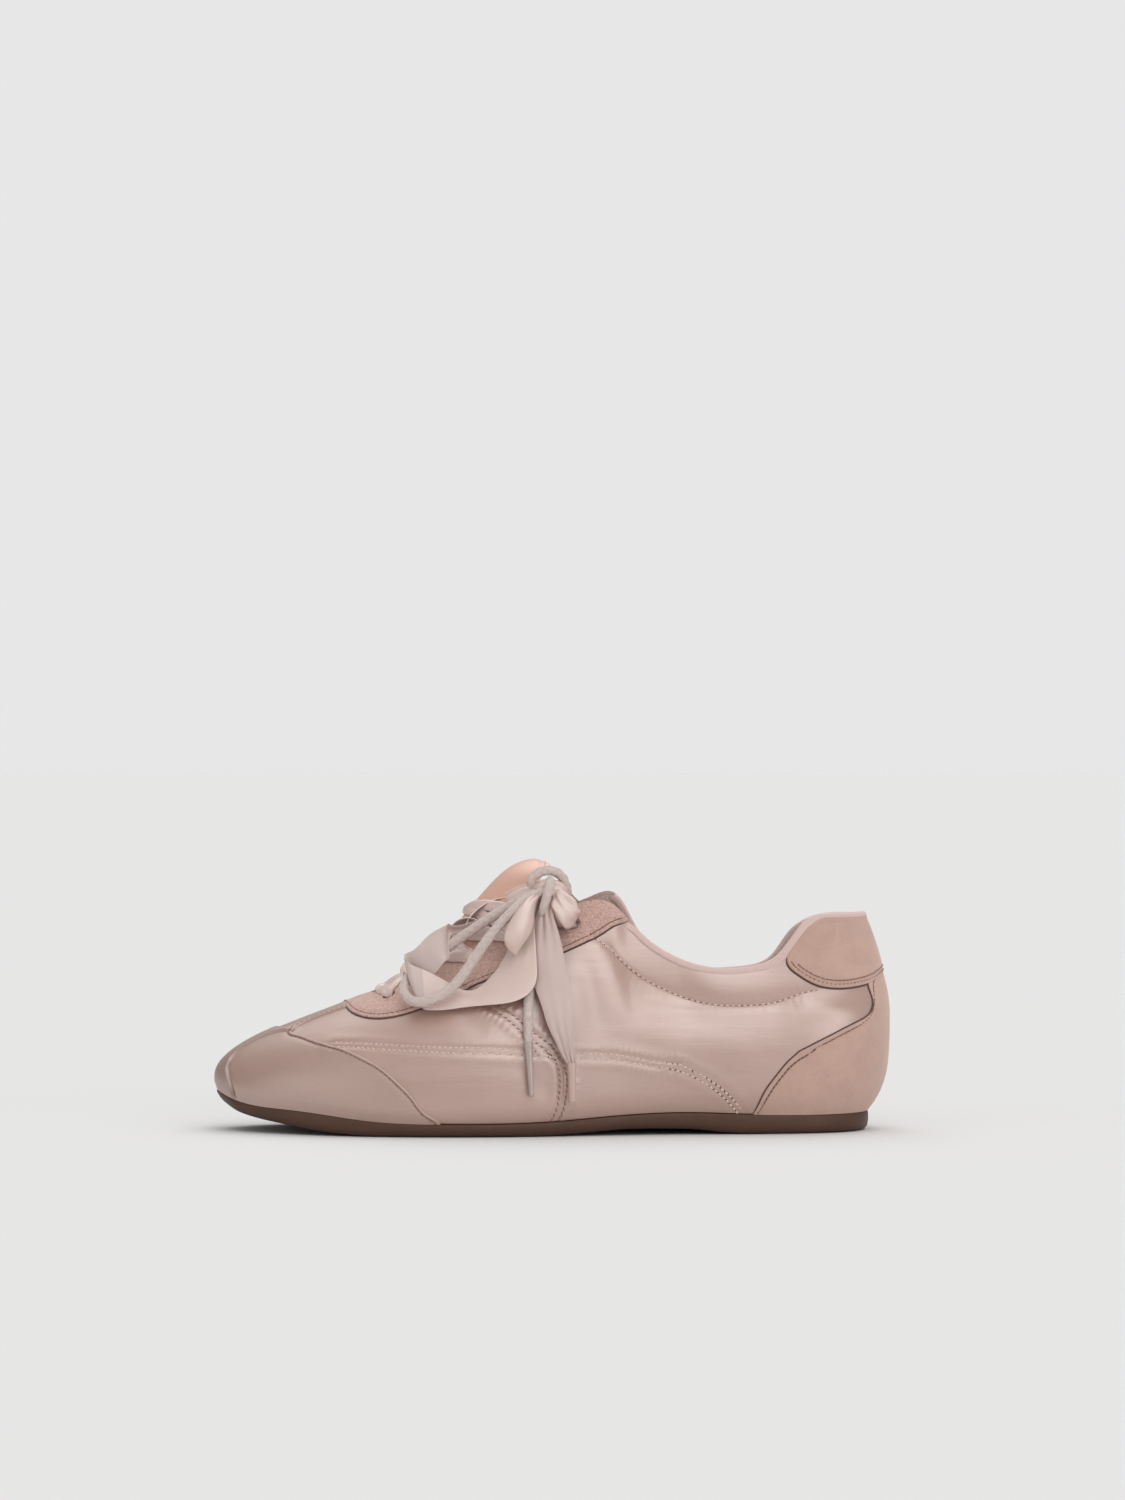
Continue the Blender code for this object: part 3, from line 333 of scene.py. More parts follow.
class Last:
    """Surface of the upper: loop position u (toe, lateral, heel, medial) and height t (0 feather, 1 top line)."""
    SPLIT = 0.16

    def __init__(self):
        walls = {name: open_spline(column(WALLS, WALL_COLUMNS, "foot"), column(WALLS, WALL_COLUMNS, name))
                 for name in WALL_COLUMNS[1:]}
        n = len(TOPLINE)
        rows = []
        for side, i in [(-1, i) for i in range(n)] + [(1, i) for i in range(n - 2, 0, -1)]:
            foot, x, dx, ly, my, lz, mz = TOPLINE[i]
            p = outline_at(side, foot)
            bulge = walls["bulge_lateral" if side < 0 else "bulge_medial"](foot)
            rows.append([p[0] + TOE_X, p[1], float(feather_z(min(max(p[0], 0.0), SOLE_LENGTH))),
                         x if side < 0 else x + dx, ly if side < 0 else my, lz if side < 0 else mz,
                         bulge] + [walls[c](foot) for c in WALL_COLUMNS[3:]])
        rows = np.array(rows, float)
        nxt = np.roll(rows, -1, 0)
        step = 0.5 * (np.linalg.norm(nxt[:, 0:2] - rows[:, 0:2], axis=1)
                      + np.linalg.norm(nxt[:, 3:6] - rows[:, 3:6], axis=1))
        self.knots = np.concatenate([[0.0], np.cumsum(step)])
        self.curve = loop_spline(self.knots, rows)
        self.period = self.knots[-1]
        self.heel = self.knots[n - 1]
        self.count = n

    def u_of(self, side, row):
        k = self.knots
        if side < 0:
            return np.interp(row, range(self.count), k[:self.count])
        back = [self.period] + [k[2 * (self.count - 1) - i] for i in range(1, self.count)]
        return np.interp(row, range(self.count), back)

    def _out(self, u, a, b):
        d = self.curve(u + 0.6) - self.curve(u - 0.6)
        v = unit(np.stack([d[..., a], d[..., b]], -1))
        return np.stack([v[..., 1], -v[..., 0]], -1)

    def at(self, u, t):
        u, t = np.broadcast_arrays(np.asarray(u, float), np.asarray(t, float))
        c = self.curve(u)
        foot, top = c[..., 0:3], c[..., 3:6]
        bulge, up, kick, rise, lean, reach = (c[..., i] for i in range(6, 12))
        of, ot = self._out(u, 0, 1), self._out(u, 3, 4)
        b = foot + np.stack([of[..., 0] * bulge, of[..., 1] * bulge, up], -1)
        k, l = np.radians(kick), np.radians(lean)
        f_dir = np.stack([of[..., 0] * np.cos(k), of[..., 1] * np.cos(k), np.sin(k)], -1)
        t_dir = np.stack([-ot[..., 0] * np.cos(l), -ot[..., 1] * np.cos(l), np.sin(l)], -1)
        span = np.linalg.norm(top - b, axis=-1)
        z = np.zeros_like(foot)
        z[..., 2] = 1.0
        low = t < self.SPLIT
        s = np.where(low, t / self.SPLIT, (t - self.SPLIT) / (1 - self.SPLIT))[..., None]
        low = low[..., None]
        p0 = np.where(low, foot, b)
        p1 = np.where(low, foot + f_dir * (up * 0.38)[..., None], b + z * (rise * span)[..., None])
        p2 = np.where(low, b - z * (up * 0.42)[..., None], top - t_dir * (reach * span)[..., None])
        p3 = np.where(low, b, top)
        q = 1 - s
        return q ** 3 * p0 + 3 * q * q * s * p1 + 3 * q * s * s * p2 + s ** 3 * p3

    def frame(self, u, t):
        """Place, rates along u and t, and outward normal."""
        u, t = np.broadcast_arrays(np.asarray(u, float), np.asarray(t, float))
        e, f = 0.4, 0.004
        hi, lo = np.minimum(t + f, 1.0), np.maximum(t - f, 0.0)
        su = (self.at(u + e, t) - self.at(u - e, t)) / (2 * e)
        st = (self.at(u, hi) - self.at(u, lo)) / (hi - lo)[..., None]
        return self.at(u, t), su, st, unit(np.cross(su, st))


last = Last()
HEEL_U, LOOP_U = last.heel, last.period


def shift(u, t, direction, distance):
    """Chart position reached by moving a distance in a direction on the surface."""
    _, su, st, _ = last.frame(u, t)
    a, b, c = (su * su).sum(-1), (su * st).sum(-1), (st * st).sum(-1)
    p, q = (su * direction).sum(-1) * distance, (st * direction).sum(-1) * distance
    det = np.maximum(a * c - b * b, 1e-6)
    return u + (c * p - b * q) / det, np.clip(t + (a * q - b * p) / det, 0.0, 1.0)


def eased(line, spacing, sigma):
    """Gaussian smoothing of a line that keeps its two ends."""
    reach = int(3 * sigma / spacing)
    if reach < 1 or len(line) <= reach + 1:
        return line
    w = np.exp(-0.5 * (np.arange(-reach, reach + 1) * spacing / sigma) ** 2)
    head = 2 * line[0] - line[1:reach + 1][::-1]
    tail = 2 * line[-1] - line[-reach - 1:-1][::-1]
    full = np.concatenate([head, line, tail])
    return np.stack([np.convolve(full[:, i], w / w.sum(), 'valid') for i in range(line.shape[1])], 1)


def chart_line(rows, side=-1, across=None, step=0.8, sigma=0.0):
    """A line on the surface through rows of (station, up), smoothed over sigma millimetres.

    side -1 or +1 gives one side's line; across "toe" or "heel" adds the other side's mirror
    image, so the line runs from the lateral side over the middle to the medial side."""
    rows = np.array(rows, float)
    if across is None:
        u, t = last.u_of(side, rows[:, 0]), rows[:, 1]
    else:
        other = rows[::-1]
        if abs(rows[-1, 0] - (0 if across == "toe" else last.count - 1)) < 1e-6:
            other = other[1:]
        u2 = last.u_of(1, other[:, 0]) - (LOOP_U if across == "toe" else 0.0)
        u = np.r_[last.u_of(-1, rows[:, 0]), u2]
        t = np.r_[rows[:, 1], other[:, 1]]
    p = last.at(u, t)
    d = along(p)
    f = open_spline(d, np.stack([u, t], 1))
    n = max(8, int(d[-1] / step))
    fine = f(np.linspace(0, d[-1], 4 * n))
    if sigma:
        fine = eased(fine, d[-1] / len(fine), sigma)
    fine[:, 1] = np.clip(fine[:, 1], 0.0, 1.0)
    s = along(last.at(fine[:, 0], fine[:, 1]))
    want = np.linspace(0, s[-1], n)
    return np.stack([np.interp(want, s, fine[:, 0]), np.interp(want, s, fine[:, 1])], 1)


# ------------------------------------------------------------------ meshes
class Soup:
    """Gathers vertices, faces, UVs and material numbers, then makes one mesh object."""

    def __init__(self):
        self.v, self.f, self.m, self.uv, self.n = [], [], [], [], 0

    def add(self, verts, faces, mat=0, uv=None):
        verts = np.asarray(verts, float).reshape(-1, 3)
        base = self.n
        self.v.append(verts)
        self.uv.append(np.zeros((len(verts), 2)) if uv is None else np.asarray(uv, float).reshape(-1, 2))
        self.n += len(verts)
        for i, f in enumerate(faces):
            self.f.append([base + int(k) for k in f])
            self.m.append(mat if np.isscalar(mat) else int(mat[i]))
        return base

    def make(self, name, mats, attributes=(), sharp=None):
        v = world(np.concatenate(self.v))
        mesh = bpy.data.meshes.new(name)
        mesh.from_pydata(v.tolist(), [], self.f)
        mesh.polygons.foreach_set("material_index", self.m)
        uv = np.concatenate(self.uv)
        loops = np.zeros(len(mesh.loops), np.int32)
        mesh.loops.foreach_get("vertex_index", loops)
        layer = mesh.uv_layers.new(name="UVMap")
        layer.data.foreach_set("uv", uv[loops].astype(np.float32).ravel())
        for key, values in attributes:
            a = mesh.attributes.new(key, 'FLOAT', 'POINT')
            a.data.foreach_set("value", np.asarray(values, np.float32))
        for m in (mats if isinstance(mats, (list, tuple)) else [mats]):
            mesh.materials.append(m)
        mesh.shade_smooth()
        if sharp:
            mesh.set_sharp_from_angle(angle=math.radians(sharp))
        mesh.update()
        ob = bpy.data.objects.new(name, mesh)
        bpy.context.scene.collection.objects.link(ob)
        return ob


def grid_faces(nu, nv, wrap_u=False, wrap_v=False, flip=False):
    iu = np.arange(nu if wrap_u else nu - 1)
    iv = np.arange(nv if wrap_v else nv - 1)
    a, b = np.meshgrid(iu, iv, indexing="ij")
    a, b = a.ravel(), b.ravel()
    a2, b2 = (a + 1) % nu, (b + 1) % nv
    f = np.stack([a * nv + b, a2 * nv + b, a2 * nv + b2, a * nv + b2], 1)
    return f[:, ::-1] if flip else f


def inside(poly, pts):
    x, y = pts[:, 0], pts[:, 1]
    ok = np.zeros(len(pts), bool)
    for (x1, y1), (x2, y2) in zip(poly, np.roll(poly, -1, 0)):
        hit = (y1 > y) != (y2 > y)
        if hit.any():
            ok ^= hit & (x < (x2 - x1) * (y - y1) / (y2 - y1 + 1e-12) + x1)
    return ok


def nearest(points, targets):
    tree = KDTree(len(targets))
    for i, p in enumerate(targets):
        tree.insert(p, i)
    tree.balance()
    found = [tree.find(p) for p in points]
    return np.array([f[2] for f in found]), np.array([f[1] for f in found])


# ------------------------------------------------------------------ camera
CAMERA_TURN = -2.0          # degrees round the shoe from its side
CAMERA_AWAY = 2.0           # metres
PICTURE = (0.42975, 0.573)  # metres across the picture, in the plane through the shoe
LOOK_RIGHT, LOOK_UP = 0.0033425, 0.144663


def make_camera():
    a = math.radians(CAMERA_TURN)
    right = Vector((math.cos(a), math.sin(a), 0.0))
    ahead = Vector((-math.sin(a), math.cos(a), 0.0))
    data = bpy.data.cameras.new("camera")
    cam = bpy.data.objects.new("camera", data)
    bpy.context.scene.collection.objects.link(cam)
    cam.location = (right * LOOK_RIGHT - ahead * CAMERA_AWAY
                    + Vector((CENTRING[0] * MM, CENTRING[1] * MM, LOOK_UP)))
    cam.rotation_euler = (math.radians(90), 0.0, a)
    data.sensor_fit = 'VERTICAL'
    data.sensor_height = 24.0
    data.lens = 24.0 * CAMERA_AWAY / PICTURE[1]
    bpy.context.scene.camera = cam


make_camera()


# ------------------------------------------------------------------ materials
class Look:
    """A Principled material built from a few noise, wave and bump nodes in the shoe's own metres."""

    def __init__(self, name, colour, rough, **sockets):
        self.mat = bpy.data.materials.new(name)
        self.mat.use_nodes = True
        self.tree = self.mat.node_tree
        self.shader = self.tree.nodes["Principled BSDF"]
        self.colour = tuple(colour)
        self.shader.inputs["Base Color"].default_value = (*colour, 1.0)
        self.shader.inputs["Roughness"].default_value = rough
        for key, value in sockets.items():
            self.shader.inputs[key.replace("_", " ")].default_value = value
        self.place = self.node("ShaderNodeTexCoord")
        self.last_colour = None
        self.last_normal = None
        self.mat.diffuse_color = (*colour, 1.0)

    def node(self, kind, **props):
        n = self.tree.nodes.new(kind)
        for k, v in props.items():
            setattr(n, k, v)
        return n

    def link(self, a, b):
        self.tree.links.new(a, b)

    def coords(self, scale=(1, 1, 1), turn=(0, 0, 0), source="Object"):
        m = self.node("ShaderNodeMapping")
        m.inputs["Scale"].default_value = scale
        m.inputs["Rotation"].default_value = tuple(math.radians(a) for a in turn)
        self.link(self.place.outputs[source], m.inputs["Vector"])
        return m.outputs["Vector"]

    def noise(self, scale, detail=2.0, rough=0.5, stretch=(1, 1, 1), turn=(0, 0, 0), distortion=0.0, source="Object"):
        n = self.node("ShaderNodeTexNoise")
        n.inputs["Scale"].default_value = scale
        n.inputs["Detail"].default_value = detail
        n.inputs["Roughness"].default_value = rough
        n.inputs["Distortion"].default_value = distortion
        self.link(self.coords(stretch, turn, source), n.inputs["Vector"])
        return n.outputs["Fac"]

    def cells(self, scale, stretch=(1, 1, 1), feature='F1', source="Object"):
        n = self.node("ShaderNodeTexVoronoi", feature=feature)
        n.inputs["Scale"].default_value = scale
        self.link(self.coords(stretch, source=source), n.inputs["Vector"])
        return n.outputs["Distance"]

    def wave(self, scale, stretch=(1, 1, 1), turn=(0, 0, 0), distortion=0.0, direction='X', source="Object"):
        n = self.node("ShaderNodeTexWave", bands_direction=direction)
        n.inputs["Scale"].default_value = scale
        n.inputs["Distortion"].default_value = distortion
        n.inputs["Detail"].default_value = 2.0
        n.inputs["Detail Scale"].default_value = 1.5
        self.link(self.coords(stretch, turn, source), n.inputs["Vector"])
        return n.outputs["Fac"]

    def ramp(self, fac, low, high, a=0.0, b=1.0):
        n = self.node("ShaderNodeMapRange")
        n.inputs["From Min"].default_value = low
        n.inputs["From Max"].default_value = high
        n.inputs["To Min"].default_value = a
        n.inputs["To Max"].default_value = b
        self.link(fac, n.inputs["Value"])
        return n.outputs["Result"]

    def maths(self, op, a, b):
        n = self.node("ShaderNodeMath", operation=op)
        for i, x in enumerate((a, b)):
            if isinstance(x, (int, float)):
                n.inputs[i].default_value = x
            else:
                self.link(x, n.inputs[i])
        return n.outputs[0]

    def attribute(self, name):
        n = self.node("ShaderNodeAttribute", attribute_name=name)
        return n.outputs["Fac"]

    def tint(self, fac, colour, amount=1.0):
        """Mixes towards a colour where fac is high."""
        n = self.node("ShaderNodeMix", data_type='RGBA')
        if self.last_colour is None:
            n.inputs[6].default_value = (*self.colour, 1.0)
        else:
            self.link(self.last_colour, n.inputs[6])
        n.inputs[7].default_value = (*colour, 1.0)
        self.link(self.maths('MULTIPLY', fac, amount), n.inputs[0])
        self.last_colour = n.outputs[2]
        self.link(self.last_colour, self.shader.inputs["Base Color"])
        return self

    def bump(self, height, depth_mm, strength=1.0):
        n = self.node("ShaderNodeBump")
        n.inputs["Distance"].default_value = depth_mm * MM
        n.inputs["Strength"].default_value = strength
        self.link(height, n.inputs["Height"])
        if self.last_normal is not None:
            self.link(self.last_normal, n.inputs["Normal"])
        self.last_normal = n.outputs["Normal"]
        self.link(self.last_normal, self.shader.inputs["Normal"])
        return self

    def rough(self, fac, low, high):
        self.link(self.ramp(fac, 0.3, 0.7, low, high), self.shader.inputs["Roughness"])
        return self


def darker(colour, k):
    return tuple(c * k for c in colour)


SATIN_COLOUR = (0.445, 0.268, 0.216)
SUEDE_COLOUR = (0.555, 0.362, 0.312)
RIBBON_COLOUR = (0.700, 0.525, 0.468)
THREAD_COLOUR = (0.840, 0.640, 0.575)


def satin(name, colour, rough=0.33, streak=1.0, grain=1.0, gloss=0.90):
    look = Look(name, colour, rough, Metallic=0.08, Sheen_Weight=0.10, Sheen_Roughness=0.35, Sheen_Tint=(1.0, 0.93, 0.91, 1.0),
                IOR=1.95, Specular_IOR_Level=gloss)
    cloud = look.noise(28.0, 2.0)
    look.tint(look.ramp(cloud, 0.42, 0.66), darker(colour, 0.90), 0.55)
    fine = look.noise(1.0, 3.0, 0.65, (70.0, 1500.0, 1500.0))
    look.tint(look.ramp(fine, 0.5, 0.75), tuple(min(1.0, c * 1.13) for c in colour), 0.34 * streak)
    look.tint(look.ramp(fine, 0.5, 0.25), darker(colour, 0.86), 0.30 * streak)
    slub = look.noise(1.0, 2.0, 0.5, (26.0, 420.0, 420.0))
    look.rough(slub, rough - 0.035, rough + 0.06)
    look.bump(fine, 0.040 * streak)
    look.bump(slub, 0.055 * streak)
    look.bump(look.noise(6500.0, 1.0), 0.012 * grain)
    return look.mat


def smooth_suede(name, colour):
    look = Look(name, colour, 0.90, Sheen_Weight=0.40, Sheen_Roughness=0.55, Sheen_Tint=(1.0, 0.88, 0.82, 1.0),
                Specular_IOR_Level=0.20)
    cloud = look.noise(42.0, 3.0, 0.60, distortion=1.2)
    look.tint(look.ramp(cloud, 0.48, 0.66), darker(colour, 0.86), 0.60)
    look.tint(look.ramp(cloud, 0.46, 0.30), tuple(min(1.0, c * 1.10) for c in colour), 0.50)
    scuff = look.noise(190.0, 3.0, 0.65, distortion=0.6)
    look.tint(look.ramp(scuff, 0.54, 0.72), darker(colour, 0.84), 0.40)
    nap = look.noise(1700.0, 3.0, 0.7)
    look.tint(look.ramp(nap, 0.52, 0.70), tuple(min(1.0, c * 1.12) for c in colour), 0.40)
    look.tint(look.ramp(nap, 0.48, 0.30), darker(colour, 0.84), 0.40)
    look.bump(nap, 0.10)
    look.bump(look.noise(5200.0, 2.0, 0.7), 0.04)
    return look.mat


def suede(name, colour):
    look = Look(name, colour, 0.92, Sheen_Weight=0.45, Sheen_Roughness=0.55, Sheen_Tint=(1.0, 0.86, 0.80, 1.0),
                Specular_IOR_Level=0.18)
    brushed = look.noise(55.0, 3.0, 0.55, distortion=0.8)
    look.tint(look.ramp(brushed, 0.46, 0.64), darker(colour, 0.82), 0.55)
    look.tint(look.ramp(brushed, 0.46, 0.30), tuple(min(1.0, c * 1.12) for c in colour), 0.50)
    nap = look.noise(1150.0, 3.0, 0.75)
    look.tint(look.ramp(nap, 0.50, 0.66), tuple(min(1.0, c * 1.34) for c in colour), 0.65)
    look.tint(look.ramp(nap, 0.49, 0.34), darker(colour, 0.55), 0.65)
    look.bump(nap, 0.20)
    look.bump(look.noise(4200.0, 2.0, 0.7, (1.0, 1.0, 0.6)), 0.06)
    return look.mat


def knit(name, colour, scale=1.0):
    look = Look(name, colour, 0.88, Sheen_Weight=0.35, Sheen_Roughness=0.5, Specular_IOR_Level=0.25)
    rows = look.wave(330.0 * scale, distortion=1.5, direction='DIAGONAL')
    cols = look.wave(330.0 * scale, turn=(0, 90, 40), distortion=1.5, direction='DIAGONAL')
    weave = look.maths('MULTIPLY', rows, cols)
    look.tint(look.ramp(weave, 0.35, 0.02), darker(colour, 0.74), 0.60)
    look.tint(look.ramp(look.noise(60.0, 2.0), 0.45, 0.65), darker(colour, 0.90), 0.50)
    look.bump(weave, 0.16)
    look.bump(look.noise(3800.0, 2.0), 0.05)
    return look.mat


def rubber(name, colour):
    look = Look(name, colour, 0.52, Specular_IOR_Level=0.42)
    look.tint(look.ramp(look.noise(90.0, 3.0, distortion=0.4), 0.45, 0.68), darker(colour, 0.80), 0.6)
    look.tint(look.ramp(look.noise(1.0, 2.0, 0.6, (60.0, 60.0, 900.0)), 0.48, 0.70), tuple(c * 1.22 for c in colour), 0.45)
    # painted shade: the rubber darkens towards the bottom of the sole, by the low attribute
    look.tint(look.ramp(look.attribute("low"), 0.30, 1.0), darker(colour, 0.55), 0.75)
    look.rough(look.noise(220.0, 3.0), 0.44, 0.60)
    look.bump(look.noise(2600.0, 2.0, 0.6), 0.045)
    look.bump(look.noise(300.0, 2.0), 0.05)
    return look.mat


def thread(name, colour):
    look = Look(name, colour, 0.55, Sheen_Weight=0.4, Sheen_Roughness=0.4, Specular_IOR_Level=0.4)
    look.tint(look.ramp(look.noise(900.0, 2.0), 0.45, 0.60), darker(colour, 0.78), 0.6)
    look.bump(look.wave(1400.0, turn=(0, 35, 20), direction='DIAGONAL'), 0.05)
    return look.mat


def braid(name, colour):
    """Round lace: pale yarn with darker flecks, on UVs of (turns round, millimetres along)."""
    look = Look(name, colour, 0.72, Sheen_Weight=0.30, Sheen_Roughness=0.5, Specular_IOR_Level=0.3)
    a = look.wave(1.9, (1.0, 1.0, 1.0), (0, 0, 38.0), 0.3, 'X', "UV")
    b = look.wave(1.9, (1.0, 1.0, 1.0), (0, 0, -38.0), 0.3, 'X', "UV")
    cross = look.maths('MULTIPLY', a, b)
    look.tint(look.ramp(cross, 0.30, 0.02), darker(colour, 0.62), 0.62)
    look.tint(look.ramp(look.noise(2.2, 2.0, 0.5, (1.0, 0.35, 1.0), source="UV"), 0.53, 0.66), darker(colour, 0.70), 0.5)
    look.bump(cross, 0.16)
    look.bump(look.noise(4000.0, 2.0), 0.04)
    return look.mat


def ribbon(name, colour, rough, tint=0.25):
    """Woven satin ribbon, on UVs of (millimetres across, millimetres along)."""
    look = Look(name, colour, rough, Sheen_Weight=0.15, Sheen_Roughness=0.3, Sheen_Tint=(1.0, 0.94, 0.93, 1.0),
                IOR=1.75, Specular_IOR_Level=0.85)
    look.tint(look.ramp(look.noise(45.0, 2.0), 0.42, 0.66), darker(colour, 0.92), 0.5)
    warp = look.noise(1.0, 3.0, 0.65, (5.5, 0.22, 1.0), source="UV")
    look.tint(look.ramp(warp, 0.52, 0.74), tuple(min(1.0, c * 1.08) for c in colour), tint)
    look.tint(look.ramp(warp, 0.48, 0.26), darker(colour, 0.90), tint)
    look.bump(warp, 0.030)
    look.bump(look.wave(3.2, direction='Y', distortion=0.4, source="UV"), 0.010)
    return look.mat


MAT_SATIN = satin("satin_upper", SATIN_COLOUR)
MAT_CAP = satin("satin_cap", (0.400, 0.238, 0.188), 0.35)
# painted shade: the upper's satin made darker for the shaded, darkly reflecting top face of the strip over the toe
MAT_STRIP_SHADE = satin("satin_toe_strip_painted_shade", (0.340, 0.205, 0.165), 0.38)
MAT_TONGUE = satin("satin_tongue", (0.720, 0.405, 0.300), 0.42, 0.8, gloss=0.6)
MAT_SUEDE = suede("suede", SUEDE_COLOUR)
MAT_SUEDE_SMOOTH = smooth_suede("suede_smooth", (0.530, 0.352, 0.290))
# painted shadow: the cut edge's own dark brown, darkened further for the shadow line under the counter's and the tab's
# edges
MAT_CUT_EDGE_SHADOW = suede("suede_cut_edge_and_painted_shadow", (0.170, 0.095, 0.075))
# the eyestay's edge: a lighter mix of its cut edge colour and painted shadow
MAT_STAY_EDGE_SHADOW = suede("suede_stay_edge_and_painted_shadow", (0.330, 0.205, 0.165))
MAT_LINING = knit("knit_lining", (0.740, 0.560, 0.520))
MAT_BINDING = knit("knit_binding", (0.780, 0.580, 0.530), 1.7)
MAT_PIPING = satin("satin_piping", (0.780, 0.600, 0.540), 0.40, 0.6, gloss=0.6)
MAT_RUBBER = rubber("brown_rubber", (0.080, 0.034, 0.017))
MAT_THREAD = thread("thread", THREAD_COLOUR)
# brown thread for the suede overlays and the diagonal seams; on the toe cap the dark thread is painted shade of the
# stitches
MAT_THREAD_BROWN_AND_SHADE = thread("thread_brown_and_painted_shade", (0.330, 0.185, 0.150))
# painted shade: dark discs in the needle holes, also used for the painted shadow lines under cut edges
MAT_HOLE_SHADE = thread("needle_hole_painted_shade", (0.110, 0.050, 0.042))
MAT_BRAID = braid("braided_lace", (0.800, 0.655, 0.600))
MAT_RIBBON = ribbon("ribbon_face", RIBBON_COLOUR, 0.25)
# the ribbon's duller reverse side, made darker still as painted shade on the inner faces of the loops
MAT_RIBBON_BACK_AND_SHADE = ribbon("ribbon_back_and_painted_shade", (0.400, 0.305, 0.275), 0.28)
# painted shade: the same ribbon face made darker where it turns back up behind the cord
MAT_RIBBON_RETURN_SHADE = ribbon("ribbon_return_painted_shade", (0.560, 0.430, 0.390), 0.27)
MAT_RIBBON_LIT = ribbon("ribbon_lit", (0.860, 0.740, 0.690), 0.22)
# painted shade: the same ribbon made darker for the tail hanging under the bow
MAT_RIBBON_TAIL_SHADE = ribbon("ribbon_tail_painted_shade", (0.530, 0.370, 0.335), 0.36)
MAT_AGLET = satin("aglet_grey", (0.400, 0.320, 0.290), 0.34, 0.5, gloss=0.6)
MAT_RIBBON_AGLET = satin("aglet_pink", (0.540, 0.370, 0.320), 0.42, 0.5, gloss=0.5)
MAT_INSOLE = knit("knit_insole", (0.560, 0.430, 0.400), 0.8)


# ------------------------------------------------------------------ laces
# The bow lies on the lateral side; these are the part's own routes, in its millimetres.
KNOT_CENTRE = (-3.4, -26.0, 92.4)
CORD_LOOP = [
    (-8.0, -28.4, 91.4),
    (-14.6, -29.0, 87.6),
    (-21.5, -28.8, 83.6),
    (-29.5, -27.6, 78.4),
    (-40.6, -25.4, 70.6),
    (-49.6, -24.6, 64.4),
    (-55.6, -27.0, 59.2),
    (-57.4, -32.0, 54.2),
    (-54.0, -37.0, 50.6),
    (-47.0, -40.0, 51.2),
    (-39.6, -40.4, 55.8),
    (-33.6, -39.0, 62.8),
    (-27.6, -37.4, 71.6),
    (-21.6, -36.0, 79.0),
    (-14.6, -33.6, 86.2),
    (-8.6, -30.4, 90.2),
    (-4.6, -29.0, 91.0),
]
CORD_TAIL = [
    (-4.6, -25.6, 89.0),
    (-5.4, -25.4, 86.0),
    (-6.4, -26.2, 82.2),
    (-7.4, -27.8, 76.0),
    (-8.8, -31.5, 66.0),
    (-10.2, -37.0, 56.0),
    (-11.0, -41.8, 45.0),
    (-10.9, -44.9, 34.2),
]
CORD_AGLET_TIP = (-9.7, -46.6, 15.2)
CORD_ARCH = [
    (-5.6, -21.4, 90.2),
    (-8.6, -25.4, 92.6),
    (-9.3, -26.8, 95.7),
    (-7.5, -27.0, 97.9),
    (-4.5, -26.6, 99.1),
    (-1.1, -25.8, 99.0),
    (1.8, -25.0, 97.3),
    (3.6, -24.2, 94.1),
    (4.2, -22.6, 90.3),
    (2.6, -20.6, 87.8),
]
# edges of the ribbon: from the knot down the front panel, back to the fold at the
# left, and up behind the cord to the knot again
RIBBON_LOOP = [
    (-7.4, -28.2, 92.0, -4.6, -28.6, 90.4),
    (-10.6, -27.6, 87.4, -7.6, -30.4, 86.0),
    (-13.4, -28.2, 82.4, -8.4, -32.4, 80.4),
    (-15.4, -29.4, 77.0, -8.2, -35.6, 74.0),
    (-18.2, -30.4, 69.6, -7.7, -38.8, 65.0),
    (-22.2, -32.4, 62.6, -8.6, -41.6, 56.4),
    (-26.6, -34.4, 57.8, -14.6, -42.4, 51.2),
    (-32.0, -35.2, 54.4, -24.6, -41.2, 49.4),
    (-38.8, -33.6, 56.2, -34.8, -38.8, 48.4),
    (-44.9, -32.2, 59.8, -42.9, -36.8, 47.2),
    (-50.6, -31.0, 62.4, -49.2, -35.2, 47.2),
    (-56.2, -29.6, 65.2, -53.6, -32.6, 51.0),
    (-57.2, -27.6, 67.4, -52.0, -30.0, 53.6),
    (-54.4, -28.2, 69.0, -48.2, -29.8, 57.6),
    (-50.6, -28.8, 72.4, -44.5, -30.4, 62.0),
    (-46.0, -28.8, 76.4, -41.6, -30.2, 65.4),
    (-41.8, -28.0, 78.6, -40.4, -28.6, 66.6),
    (-40.2, -24.4, 79.0, -39.6, -25.0, 74.6),
    (-37.4, -21.4, 78.2, -37.0, -21.6, 74.8),
    (-32.4, -20.8, 79.4, -32.4, -21.0, 76.2),
    (-26.0, -21.2, 82.8, -26.0, -21.4, 79.6),
    (-19.0, -21.8, 87.0, -19.0, -22.2, 83.8),
    (-12.6, -22.8, 91.4, -12.8, -24.0, 88.6),
    (-6.2, -24.6, 94.2, -6.4, -25.8, 91.4),
]
